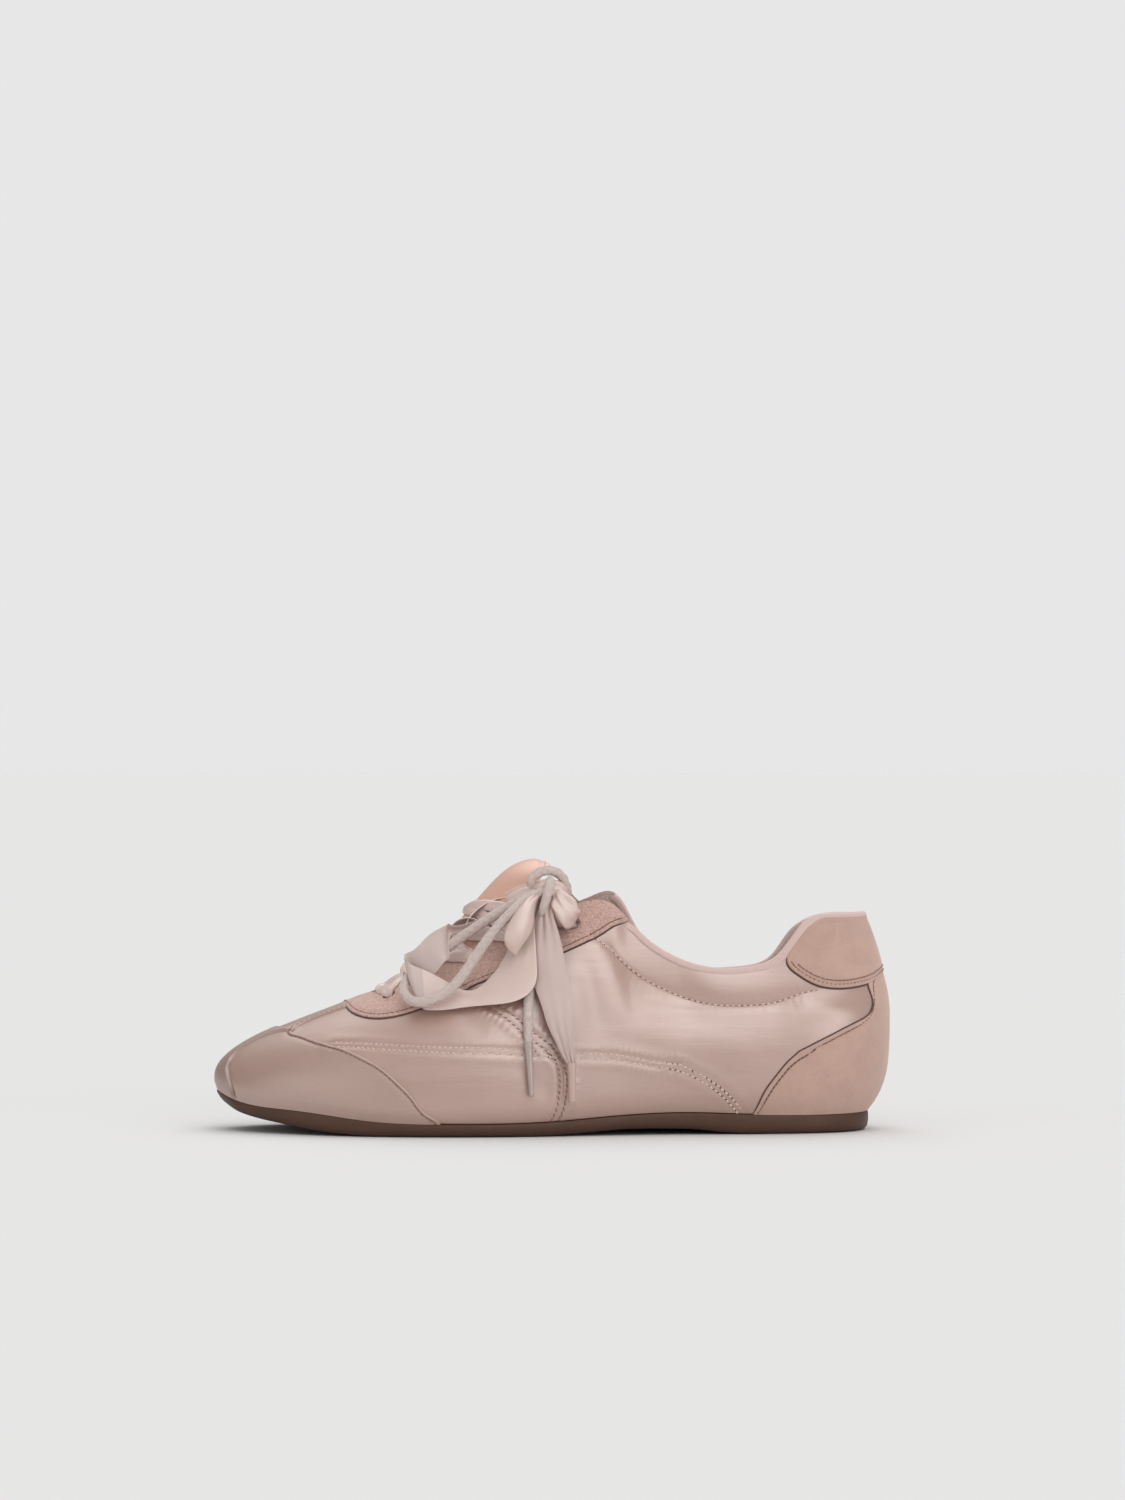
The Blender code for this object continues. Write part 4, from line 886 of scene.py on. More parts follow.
RIBBON_TAIL = [
    (-5.2, -27.2, 91.8, -1.8, -27.2, 91.6),
    (-5.0, -29.2, 88.6, -0.4, -30.0, 88.2),
    (-6.4, -30.4, 85.4, -1.4, -31.6, 85.0),
    (-8.2, -31.6, 80.4, -0.4, -32.8, 79.8),
    (-9.2, -34.0, 72.8, 1.6, -34.8, 72.4),
    (-9.4, -37.2, 64.0, 3.5, -37.8, 63.6),
    (-8.4, -40.0, 56.0, 5.2, -40.8, 55.6),
    (-6.0, -43.0, 49.2, 5.9, -43.0, 48.6),
    (-3.8, -44.8, 42.1, 6.0, -44.2, 41.6),
    (-0.8, -45.6, 35.6, 6.3, -45.0, 35.2),
    (2.0, -45.8, 30.0, 6.5, -45.5, 29.6),
    (3.9, -45.9, 27.0, 6.6, -45.8, 26.9),
]
RIBBON_AGLET_TIP = (5.5, -45.8, 12.9)
RIBBON_CURL = [
    (-7.6, -29.8, 91.6, -5.6, -30.2, 90.4),
    (-12.2, -33.2, 87.9, -7.9, -33.2, 86.6),
    (-16.3, -37.2, 82.6, -8.6, -35.6, 82.4),
    (-18.9, -39.6, 77.9, -9.2, -37.6, 78.6),
    (-19.8, -39.8, 73.8, -10.8, -38.4, 74.8),
    (-18.6, -38.2, 70.4, -13.2, -38.2, 71.4),
    (-15.9, -36.6, 67.9, -15.2, -36.6, 68.0),
]
AGLET_GAP = 0.5


def sweep_frames(path, ups):
    """Run, side and up of each point of a path, up being as near as can be to the one asked for."""
    run = unit(np.gradient(path, axis=0))
    side = unit(np.cross(ups, run))
    return run, side, np.cross(run, side)


def parallel_ups(path, first):
    run = unit(np.gradient(path, axis=0))
    up = np.array(first, float)
    out = []
    for r in run:
        up = unit(up - r * np.dot(up, r))
        out.append(up)
    return np.array(out)


def braided(soup, path, radius, mat, around=40, pitch=6.4, strands=8, taper=None, first=(0, -1, 0)):
    """A round braided cord along evenly spaced points: two sets of plaits cross over its surface."""
    ups = parallel_ups(path, first)
    _, side, up = sweep_frames(path, ups)
    s = along(path)
    a = np.arange(around) / around * 2 * math.pi
    A, S = np.meshgrid(a, s)
    w1 = np.sin(0.5 * strands * A + 2 * math.pi * S / pitch * 2)
    w2 = np.sin(0.5 * strands * A - 2 * math.pi * S / pitch * 2)
    r = radius * (0.955 + 0.075 * np.maximum(w1, w2) + 0.02 * np.abs(w1 * w2))
    if taper is not None:
        r = r * taper(s / s[-1])[:, None]
    pts = (path[:, None, :] + side[:, None, :] * (np.cos(A) * r)[..., None] + up[:, None, :] * (np.sin(A) * r)[..., None])
    base = soup.add(pts, grid_faces(len(s), around, wrap_v=True, flip=True), mat,
                    np.stack([A / (2 * math.pi) * 4, S / 2.0], -1))
    for end, flip in ((0, False), (len(s) - 1, True)):
        ring = [base + end * around + k for k in range(around)]
        soup.f.append(ring[::-1] if flip else ring)
        soup.m.append(mat)
    return base


def strip(soup, rows, across=14, thick=0.5, cup=0.0, pleats=(0.0, 0.0, 3), mats=(0, 1), step=0.9, seed=0.0, wave=0.35,
          reach=14.0):
    """A ribbon between its two edges: thin, closed, with selvedges, pleats gathered near its ends and slow waves.

    pleats is (height at the start, height at the end, how many); they die away over reach."""
    line = smooth_line(rows, step=step)
    a, b = line[:, :3], line[:, 3:6]
    mid = 0.5 * (a + b)
    s = along(mid)
    width = np.linalg.norm(b - a, axis=1)
    run = unit(np.gradient(mid, axis=0))
    face = unit(np.cross(run, unit(b - a)))
    for _ in range(3):
        face = unit(np.concatenate([face[:1], 0.25 * face[:-2] + 0.5 * face[1:-1] + 0.25 * face[2:], face[-1:]]))
    w = np.linspace(0.0, 1.0, across + 1)
    W, S = np.meshgrid(w, s)
    p = a[:, None, :] * (1 - W)[..., None] + b[:, None, :] * W[..., None]
    hump = 4 * W * (1 - W)
    bow = (cup(S / s[-1]) if callable(cup) else cup) * hump
    gather = pleats[0] * np.exp(-(S / reach) ** 1.4) + pleats[1] * np.exp(-((s[-1] - S) / reach) ** 1.4)
    fold = gather * np.sin(2 * math.pi * pleats[2] * W + seed + S * 0.05) * (0.35 + 0.65 * hump)
    slow = np.array([[noise.noise(Vector((seed * 3.1 + x / 13.0, y * 1.6, seed))) for y in w] for x in s])
    slow = slow * wave * np.minimum(width / 10.0, 1.0)[:, None]
    p = p + face[:, None, :] * (bow + fold + slow)[..., None]
    du, dv = np.gradient(p, axis=0), np.gradient(p, axis=1)
    n = unit(np.cross(du, dv))
    half = 0.5 * thick * (0.55 + 0.45 * np.clip(hump * 2.2, 0, 1)) + 0.10 * np.exp(-((np.minimum(W, 1 - W) * width[:, None] - 0.7) / 0.35) ** 2)
    front, back = p + n * half[..., None], p - n * half[..., None]
    uv = np.stack([W * width[:, None], np.broadcast_to(S, W.shape)], -1)
    m, k = len(s), across + 1
    ff = grid_faces(m, k)
    base = soup.add(front, ff, mats[0], uv)
    base2 = soup.add(back, ff[:, ::-1], mats[1], uv)
    quads = []
    for i in range(m - 1):
        quads.append((base + (i + 1) * k, base + i * k, base2 + i * k, base2 + (i + 1) * k))
        quads.append((base + i * k + k - 1, base + (i + 1) * k + k - 1, base2 + (i + 1) * k + k - 1, base2 + i * k + k - 1))
    for j in range(k - 1):
        quads.append((base + j, base + j + 1, base2 + j + 1, base2 + j))
        e = (m - 1) * k
        quads.append((base + e + j + 1, base + e + j, base2 + e + j, base2 + e + j + 1))
    soup.f.extend([list(q) for q in quads])
    soup.m.extend([mats[0]] * len(quads))
    return mid, s[-1]


def bunch(soup, path, ups, width, thick, mat=0, folds=0.16, count=5, around=40, seed=0.0, power=0.8, twist=0.02, curve=0.0):
    """A ribbon gathered along a path: width and thick are functions of the share of its length."""
    run, side, up = sweep_frames(path, ups)
    s = along(path)
    q = s / s[-1]
    w, h = width(q), thick(q)
    a = np.arange(around) / around * 2 * math.pi
    A, S = np.meshgrid(a, s)
    Q = S / s[-1]
    ca, sa = np.cos(A), np.sin(A)
    x = np.sign(ca) * np.abs(ca) ** power * 0.5 * w[:, None]
    y = np.sign(sa) * np.abs(sa) ** power * 0.5 * h[:, None]
    crease = np.sin(count * A + seed + twist * S * 10) + 0.5 * np.sin((count * 2 + 1) * A - seed * 2 + twist * S * 17)
    size = np.minimum(w, 2.4 * h)[:, None] * 0.5
    k = folds * size * crease * (0.7 + 0.3 * np.sin(S * 0.9 + seed))
    x, y = x + ca * k, y + sa * k
    y = y + curve * (1 - (2 * x / w[:, None]) ** 2)
    pts = path[:, None, :] + side[:, None, :] * x[..., None] + up[:, None, :] * y[..., None]
    base = soup.add(pts, grid_faces(len(s), around, wrap_v=True, flip=True), mat, np.stack([A * 1.6, S], -1))
    for end, flip in ((0, False), (len(s) - 1, True)):
        ring = [base + end * around + i for i in range(around)]
        soup.f.append(ring[::-1] if flip else ring)
        soup.m.append(mat)


def profile(*pairs):
    """A smooth function through (share, value) pairs."""
    return pchip([p[0] for p in pairs], [p[1] for p in pairs])


def straight(a, b, n):
    return np.array(a)[None] * (1 - np.linspace(0, 1, n))[:, None] + np.array(b)[None] * np.linspace(0, 1, n)[:, None]


# round lace: loop, through the knot, then its tail
cord_line = smooth_line(CORD_LOOP + CORD_TAIL, step=0.36)
soup = Soup()
braided(soup, cord_line, 1.85, 0, taper=profile((0, 0.8), (0.03, 1.0), (0.94, 1.0), (0.97, 0.92), (1, 0.80)))
cord_piece = soup.make("laces_cord", [MAT_BRAID])

end = cord_line[-1] + unit(cord_line[-1] - cord_line[-6]) * 0.1
tip = np.array(CORD_AGLET_TIP)
axis = unit(tip - end)
soup = Soup()
path = straight(end - axis * 1.4, tip, 60)
bunch(soup, path, parallel_ups(path, (0, -1, 0)),
      profile((0, 3.5), (0.06, 3.5), (0.12, 3.1), (0.3, 2.7), (0.8, 2.1), (0.97, 1.8), (1, 1.1)),
      profile((0, 3.5), (0.06, 3.5), (0.12, 3.1), (0.3, 2.7), (0.8, 2.1), (0.97, 1.8), (1, 1.1)), 0, 0.012, 3, 28, power=1.0)
cord_aglet = soup.make("laces_cord_tip", [MAT_AGLET], sharp=50)

# flat ribbon: loop, through the knot, then its tail
bend = [(-3.8, -27.4, 93.6, -4.0, -28.0, 91.2)]
ribbon_rows = RIBBON_LOOP + bend + RIBBON_TAIL[1:]
soup = Soup()
loop_line, loop_length = strip(soup, RIBBON_LOOP[:11], 18, 0.5, lambda q: 0.9 * np.sin(math.pi * np.clip(q * 1.1, 0, 1)) ** 2,
                               (0.55, 0.0, 3), (0, 1), seed=0.4)
ribbon_soup_parts = len(soup.f)
# the ribbon going back up to the knot takes the painted-shade copy of the ribbon on both faces
back_line, back_length = strip(soup, RIBBON_LOOP[10:], 18, 0.5, lambda q: 1.2 * np.sin(math.pi * q), (0.0, 0.5, 3), (3, 3),
                               seed=1.7, wave=0.5)
# the tail's face takes the painted-shade copy of the ribbon
tail_line, tail_length = strip(soup, RIBBON_TAIL, 18, 0.5, lambda q: 0.8 * np.sin(math.pi * q), (0.95, 0.45, 3), (2, 1), seed=2.9)
ribbon_piece = soup.make("laces_ribbon", [MAT_RIBBON, MAT_RIBBON_BACK_AND_SHADE, MAT_RIBBON_TAIL_SHADE, MAT_RIBBON_RETURN_SHADE], sharp=60)

end = 0.5 * (np.array(RIBBON_TAIL[-1][:3]) + np.array(RIBBON_TAIL[-1][3:]))
tip = np.array(RIBBON_AGLET_TIP)
soup = Soup()
path = straight(end + unit(end - tip) * 1.0, tip, 50)
bunch(soup, path, parallel_ups(path, (0, -1, 0)), profile((0, 3.4), (0.1, 3.3), (0.2, 3.1), (0.9, 2.9), (0.98, 2.7), (1, 2.2)),
      profile((0, 2.2), (0.1, 2.4), (0.2, 2.5), (0.9, 2.4), (0.98, 2.2), (1, 1.6)), 0, 0.012, 3, 28, power=1.0)
ribbon_aglet = soup.make("laces_ribbon_tip", [MAT_RIBBON_AGLET], sharp=50)

# what the knot is made of: its bunched core, the cord arching over it, the turn of
# braid in front, the curled ribbon beside it and the gathered end to the top eyelet
soup = Soup()
core = smooth_line([(-8.6, -26.0, 90.4), (-5.0, -26.6, 92.4), (-0.8, -26.4, 92.4), (3.6, -24.6, 89.6)], step=0.35)
bunch(soup, core, parallel_ups(core, (0, -1, 0)), profile((0, 4.4), (0.4, 6.6), (0.7, 6.4), (1, 3.6)),
      profile((0, 3.0), (0.4, 6.0), (0.7, 6.0), (1, 3.0)), 0, 0.14, 4, 48, seed=0.7, twist=0.06)
arch = smooth_line(CORD_ARCH, step=0.36)
braided(soup, arch, 1.8, 2)
turn = smooth_line([(-2.2, -25.2, 95.4), (-2.4, -29.6, 94.6), (-3.2, -32.0, 91.6), (-4.2, -32.8, 88.0), (-5.4, -32.6, 84.6),
                    (-6.0, -31.0, 82.6)], step=0.36)
braided(soup, turn, 1.75, 2, taper=profile((0, 0.9), (0.3, 1.05), (0.7, 0.92), (1, 0.7)))
strip(soup, RIBBON_CURL, 18, 0.5, lambda q: 3.2 * np.sin(math.pi * np.clip(q, 0, 1)) ** 1.2, (0.35, 0.0, 2), (0, 1), seed=4.2, wave=0.2)
strip(soup, [(-19.6, -25.4, 90.4, -17.4, -25.8, 87.2), (-14.4, -26.4, 93.2, -13.2, -27.4, 90.0),
             (-9.4, -27.2, 94.2, -8.6, -28.2, 91.4), (-5.4, -27.4, 94.0, -5.2, -28.2, 91.8)],
      10, 0.5, 0.7, (0.0, 0.4, 2), (0, 0), seed=5.1, wave=0.2)
knob = smooth_line([(0.6, -26.6, 92.2), (1.8, -29.0, 89.0), (3.0, -30.2, 85.4), (3.9, -29.6, 82.5), (4.3, -26.8, 80.8),
                    (4.2, -23.6, 80.0), (4.4, -20.6, 79.3)], step=0.3)
bunch(soup, knob, parallel_ups(knob, (0.2, -1, 0.1)),
      profile((0, 3.0), (0.14, 5.4), (0.34, 9.0), (0.58, 9.8), (0.76, 7.0), (0.90, 4.2), (1, 3.6)),
      profile((0, 2.6), (0.2, 4.4), (0.45, 6.2), (0.65, 5.6), (0.85, 3.8), (1, 3.2)), 0, 0.17, 3, 64, seed=2.0, twist=0.05)
strip(soup, [(0.0, -23.6, 93.6, -0.6, -24.6, 90.0), (4.4, -22.0, 91.6, 3.0, -23.4, 87.4), (8.4, -19.4, 88.0, 7.0, -20.8, 83.6),
             (11.0, -15.4, 85.6, 10.4, -16.4, 81.4), (12.0, -10.6, 84.4, 11.6, -11.0, 80.6)],
      12, 0.5, 0.8, (0.4, 0.3, 2), (0, 1), seed=6.0, wave=0.3)
knot_piece = soup.make("laces_knot", [MAT_RIBBON, MAT_RIBBON_BACK_AND_SHADE, MAT_BRAID], sharp=70)


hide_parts("cord_loop", "cord_tail")
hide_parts("cord_aglet")
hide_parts("ribbon_loop", "ribbon_tail")
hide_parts("ribbon_aglet")
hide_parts("bow_knot")
for piece, name in ((cord_piece, "braid"), (cord_aglet, "aglet"), (ribbon_piece, "ribbon"), (ribbon_aglet, "ribbon"),
                    (knot_piece, "ribbon")):
    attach(piece, "root")


# ------------------------------------------------------------------ lines of the upper
# Each row is (station from the toe to the heel, height up the wall from sole to top line).
TOE_EDGE = [(6.38, 0.0), (6.35, 0.019), (6.16, 0.053), (5.88, 0.143), (5.55, 0.241), (5.19, 0.333), (4.79, 0.396),
            (4.02, 0.485), (3.21, 0.541), (2.46, 0.601), (1.86, 0.634), (1.42, 0.648), (1.20, 0.668), (1.10, 0.705),
            (1.08, 0.750), (1.16, 0.790), (1.32, 0.822), (1.52, 0.848), (1.72, 0.872), (1.82, 0.940)]
TOE_STRIP = [(1.24, 0.662), (1.13, 0.660), (0.94, 0.645), (0.71, 0.613), (0.57, 0.560), (0.53, 0.500), (0.54, 0.450),
             (0.59, 0.390), (0.70, 0.322), (0.89, 0.262), (1.08, 0.214), (1.21, 0.160), (1.28, 0.105), (1.32, 0.040), (1.33, 0.0)]
HORIZONTAL = [(3.60, 0.522), (4.40, 0.500), (5.12, 0.465), (5.70, 0.432), (6.36, 0.396), (6.91, 0.372), (8.30, 0.316),
              (9.53, 0.269), (10.29, 0.248), (11.80, 0.222), (13.47, 0.177), (14.44, 0.148), (14.89, 0.119),
              (15.42, 0.085), (15.70, 0.045), (15.92, 0.0)]
DIAGONAL = [(6.80, 0.72), (7.05, 0.693), (7.47, 0.593), (7.74, 0.544), (8.19, 0.437), (8.52, 0.370), (8.88, 0.306),
            (9.10, 0.246), (9.17, 0.189), (9.14, 0.120), (9.10, 0.070), (8.97, 0.0)]
COLLAR = [(10.10, 0.815), (10.35, 0.800), (10.65, 0.780), (11.05, 0.752), (11.45, 0.731), (11.95, 0.722), (12.48, 0.720),
          (13.00, 0.720), (13.44, 0.719), (13.80, 0.713), (14.16, 0.704), (14.72, 0.682), (15.37, 0.661), (16.00, 0.648),
          (16.65, 0.630), (17.37, 0.598), (18.20, 0.555), (18.95, 0.526)]
TAB_LOWER = [(17.50, 0.915), (17.44, 0.880), (17.56, 0.808), (17.98, 0.695), (18.55, 0.599), (19.02, 0.546), (19.56, 0.504),
             (20.16, 0.489), (20.61, 0.491), (21.31, 0.507), (22.0, 0.524)]
TAB_UPPER = [(17.50, 0.915), (17.88, 0.934), (18.28, 0.950), (18.71, 0.962), (19.18, 0.971), (19.64, 0.976), (20.31, 0.980),
             (20.86, 0.982), (21.67, 0.983), (22.0, 0.983)]
COUNTER = [(16.26, 0.0), (16.33, 0.012), (16.52, 0.063), (16.72, 0.094), (16.96, 0.119), (17.37, 0.145), (17.88, 0.160),
           (18.63, 0.187), (19.25, 0.207), (19.76, 0.228), (20.27, 0.246), (20.60, 0.275), (20.76, 0.330),
           (20.78, 0.400), (20.70, 0.454), (20.70, 0.500), (20.90, 0.545), (21.40, 0.575), (22.0, 0.580)]
EYESTAY = [(12.16, 1.0), (12.05, 0.972), (11.60, 0.920), (10.94, 0.843), (10.19, 0.790), (9.28, 0.757), (8.14, 0.743),
           (7.34, 0.732), (6.60, 0.704), (5.72, 0.676), (5.02, 0.672), (4.60, 0.682), (4.17, 0.708), (3.61, 0.748),
           (2.79, 0.815), (2.10, 0.866), (1.50, 0.892), (0.80, 0.902), (0.0, 0.904)]
EYELETS = [(4.30, 7.6), (5.80, 7.2), (7.12, 6.8), (8.40, 7.2), (9.70, 8.0)]
EYELET_HOLE = 2.6
BINDING_FROM = 12.2
MEDIAL_BINDING_FROM = 10.9

# soft creases: side, then from and to as (station, height), depth and width
CREASES = [
    (-1, (9.95, 0.72), (10.20, 0.34), 0.75, 4.2),
    (-1, (10.75, 0.62), (10.55, 0.30), 0.30, 5.0),
    (-1, (16.6, 0.585), (20.4, 0.40), 0.65, 3.8),
    (-1, (17.6, 0.50), (20.6, 0.33), -0.45, 5.5),
    (-1, (13.4, 0.60), (16.6, 0.50), 0.32, 5.5),
    (-1, (2.9, 0.47), (5.1, 0.20), 0.22, 6.0),
    (-1, (6.6, 0.60), (7.5, 0.44), 0.34, 3.4),
    (-1, (5.2, 0.62), (6.6, 0.45), 0.22, 4.5),
    (-1, (8.0, 0.30), (8.9, 0.10), 0.26, 3.6),
    (-1, (11.4, 0.50), (15.2, 0.38), -0.35, 7.0),
    (1, (9.8, 0.70), (10.3, 0.34), 0.60, 4.6),
    (1, (16.4, 0.58), (20.2, 0.42), 0.55, 4.2),
    (1, (13.0, 0.58), (16.2, 0.46), 0.30, 6.0),
    (1, (6.4, 0.60), (7.6, 0.42), 0.30, 3.6),
    (1, (11.0, 0.46), (15.0, 0.34), -0.30, 7.0),
]


def eyelet_place(side, k):
    row, inset = EYELETS[k]
    u = float(last.u_of(side, row))
    t = np.linspace(1.0, 0.5, 251)
    p = last.at(u, t)
    i = int(np.argmax(np.linalg.norm(p - p[0], axis=1) >= inset))
    return u, float(t[i])


EYELET_SPOTS = [(side, k) + eyelet_place(side, k) for side in (-1, 1) for k in range(len(EYELETS))]
EYELET_POINTS = np.array([last.at(u, t) for _, _, u, t in EYELET_SPOTS])


class Seam:
    """A line on the surface that answers how far points are from it, and how far along."""

    def __init__(self, chart):
        self.chart = np.asarray(chart, float)
        self.p = last.at(self.chart[:, 0], self.chart[:, 1])
        self.s = along(self.p)
        self.lo, self.hi = self.p.min(0), self.p.max(0)
        self.tree = KDTree(len(self.p))
        for i, q in enumerate(self.p):
            self.tree.insert(q, i)
        self.tree.balance()

    def near(self, pts, reach=1e9):
        d = np.full(len(pts), 1e9)
        s = np.zeros(len(pts))
        ok = np.all((pts > self.lo - reach) & (pts < self.hi + reach), axis=1)
        for i in np.nonzero(ok)[0]:
            _, j, dist = self.tree.find(pts[i])
            d[i], s[i] = dist, self.s[j]
        return d, s


FINE = 0.25
seam_horizontal = {side: Seam(chart_line(HORIZONTAL, side, step=FINE, sigma=5.0)) for side in (-1, 1)}
seam_diagonal = {side: Seam(chart_line(DIAGONAL, side, step=FINE, sigma=3.0)) for side in (-1, 1)}
seam_collar = {side: Seam(chart_line(COLLAR, side, step=FINE, sigma=4.0)) for side in (-1, 1)}
seam_strip = {side: Seam(chart_line(TOE_STRIP, side, step=FINE, sigma=1.2)) for side in (-1, 1)}
crease_lines = []
for side, a, b, depth, wide in CREASES:
    n = 24
    q = np.linspace(0, 1, n)
    rows = np.stack([a[0] + (b[0] - a[0]) * q, a[1] + (b[1] - a[1]) * q + 0.012 * np.sin(q * 7.0 + a[0])], 1)
    crease_lines.append((Seam(chart_line(rows, side, step=0.6)), depth, wide))

collar_rows = np.array(COLLAR)


def station(u):
    """Side (-1 or 1) and row of a loop position."""
    u = np.asarray(u, float) % LOOP_U
    n = last.count
    lat = np.interp(u, last.knots[:n], np.arange(n))
    k = last.knots
    med = np.interp(u, np.r_[k[n - 1:2 * (n - 1)], LOOP_U], np.arange(n - 1, -1, -1))
    return np.where(u <= HEEL_U, -1, 1), np.where(u <= HEEL_U, lat, med)


STRIP_RISE = 0.75
STRIP_POLY = np.array(TOE_STRIP + [(-0.5, 0.0), (-0.5, 0.66)])


def relief(u, t, p):
    """Millimetres that the cloth stands out of the plain form."""
    shape = p.shape[:-1]
    pts = p.reshape(-1, 3)
    u, t = (np.broadcast_to(x, shape).ravel() for x in (np.asarray(u, float), np.asarray(t, float)))
    side, row = station(u)
    h = np.zeros(len(pts))
    # slow unevenness of cloth over foam
    h += 0.30 * wander(pts, 34.0, 3.0) + 0.10 * wander(pts, 13.0, 9.0)
    for s in (-1, 1):
        here = side == s
        q = pts[here]
        add = np.zeros(len(q))
        d, a = seam_horizontal[s].near(q, 9.0)
        add += 0.20 * np.exp(-(d / 0.55) ** 2) - 0.34 * np.exp(-((d - 1.0) / 0.45) ** 2)
        add += 0.22 * np.exp(-((d - 3.0) / 1.9) ** 2) * (1 + 0.35 * np.sin(a * math.pi + 0.8 * np.sin(a * 0.31)))
        d, a = seam_diagonal[s].near(q, 9.0)
        add += 0.22 * np.exp(-(d / 0.7) ** 2) - 0.42 * np.exp(-((d - 1.35) / 0.5) ** 2)
        add += 0.30 * np.exp(-((d - 3.3) / 1.9) ** 2) * (1 + 0.6 * np.sin(a * math.pi * 0.8 + np.sin(a * 0.4)))
        d, a = seam_collar[s].near(q, 22.0)
        front = smooth(row[here], 11.0, 12.2) * (1 - smooth(row[here], 14.2, 15.4))
        low = np.interp(row[here], collar_rows[:, 0], collar_rows[:, 1])
        long = 4.2 + np.where(t[here] > low, 2.6, 6.0) * front
        add += -0.30 * np.exp(-(d / 0.55) ** 2) - (1.20 + 0.70 * front) * (
            np.exp(-np.sqrt(d * d + 0.25) / long) * smooth(row[here], 9.9, 11.2) * (1 - 0.4 * smooth(row[here], 17.0, 18.6))
            * (1 - smooth(d, 12.0, 22.0)))
        add += 0.06 * np.exp(-((d - 2.2) / 1.6) ** 2) * np.sin(a * 1.9 + 2.6 * np.sin(a * 0.23)) * (0.6 + 0.4 * np.sin(a * 0.37))
        h[here] += add
        # the padded collar between its stitching and the top line
        f = np.clip((t[here] - low) / (1.0 - low), 0, 1)
        fade = smooth(row[here], 10.2, 12.0) * (1 - 0.5 * smooth(row[here], 16.8, 18.4))
        h[here] += (1.05 - 0.80 * front) * np.sin(math.pi * f) ** 0.75 * fade * (t[here] > low)
        # the strip that runs over the middle of the toe
        d, a = seam_strip[s].near(q, 9.0)
        within = inside(STRIP_POLY, np.stack([row[here], t[here]], 1))
        sd = np.where(within, d, -d)
        h[here] += np.where(d < 1e8, STRIP_RISE * smooth(sd, -0.10, 0.60), 0.0) * smooth(t[here], -0.1, 0.05)
        h[here] += -0.50 * np.exp(-((sd + 0.35) / 0.45) ** 2) + 0.22 * np.exp(-((sd + 1.9) / 1.0) ** 2)
        h[here] += np.where((d > 1e8) & within, STRIP_RISE, 0.0)
    for seam, depth, wide in crease_lines:
        d, a = seam.near(pts, wide * 2.5)
        q = a / seam.s[-1]
        h += np.where(d < 1e8, -depth * np.exp(-(d / wide) ** 2) * np.sin(math.pi * np.clip(q, 0.02, 0.98)) ** 0.6, 0.0)
    # flat where it meets the sole and the top line
    h *= smooth(t, -0.02, 0.07) * (0.25 + 0.75 * smooth(1.0 - t, -0.002, 0.05))
    return h.reshape(shape)


def skin(u, t):
    p, su, st, n = last.frame(u, t)
    return p + n * relief(u, t, p)[..., None], su, st, n


# ------------------------------------------------------------------ the satin shell
def upper_shell():
    nu, nv, rim, inner = 620, 92, 5, 26
    us = np.linspace(0, LOOP_U, nu, endpoint=False)
    ts = np.linspace(0.0, 1.0, nv)
    U, T = np.meshgrid(us, ts, indexing="ij")
    p, su, st, n = last.frame(U, T)
    h = relief(U, T, p)
    # clean round holes: points just inside each hole move out to its edge
    outer = p + n * h[..., None]
    hole = np.zeros(U.shape, bool)
    for centre in EYELET_POINTS:
        off = p - centre
        d = np.linalg.norm(off, axis=-1)
        r = EYELET_RADIUS + 0.1
        hole |= d < r * 0.86
        ring = (d >= r * 0.86) & (d < r)
        outer[ring] += off[ring] * ((r - d[ring]) / d[ring])[:, None]
    top, tn, tt = outer[:, -1], n[:, -1], unit(st[:, -1])
    rows = [outer]
    for k in range(1, rim + 1):
        a = math.pi * k / rim
        rows.append((top - tn * (0.5 * WALL * (1 - math.cos(a))) + tt * (0.35 * math.sin(a)))[:, None])
    t_in = np.linspace(0.985, 0.03, inner)
    U2, T2 = np.meshgrid(us, t_in, indexing="ij")
    q, _, _, n2 = last.frame(U2, T2)
    pad = 0.9 * np.sin(math.pi * np.clip((T2 - 0.62) / 0.38, 0, 1)) * smooth(station(U2)[1], 11.0, 13.0)
    liner = q - n2 * (WALL + pad + 0.12 * wander(q.reshape(-1, 3), 16.0, 5.0).reshape(T2.shape))[..., None]
    hole2 = np.zeros(U2.shape, bool)
    for centre in EYELET_POINTS:
        off = q - centre
        d = np.linalg.norm(off, axis=-1)
        hole2 |= d < EYELET_RADIUS * 1.15
    rows.append(liner)
    verts = np.concatenate(rows, axis=1)
    gone = np.concatenate([hole, np.zeros((nu, rim), bool), hole2], axis=1)
    m = verts.shape[1]
    f = grid_faces(nu, m, wrap_u=True)
    keep = ~(gone.ravel()[f].all(axis=1))
    j = f[:, 0] % m
    lining = np.where(j < nv + 1, 0, 1)
    s = Soup()
    uv = np.stack(np.broadcast_arrays(us[:, None], along(verts[nu // 4])[None]), -1)
    s.add(verts, f[keep], lining[keep], uv)
    return s.make("upper_satin", [MAT_SATIN, MAT_LINING])


shell = upper_shell()


# ------------------------------------------------------------------ overlays
def nearest_line(pts, lines):
    """Distance of points from polylines given as arrays of points."""
    best = np.full(len(pts), 1e9)
    for line in lines:
        tree = KDTree(len(line))
        for i, q in enumerate(line):
            tree.insert(q, i)
        tree.balance()
        best = np.minimum(best, [tree.find(q)[2] for q in pts])
    return best


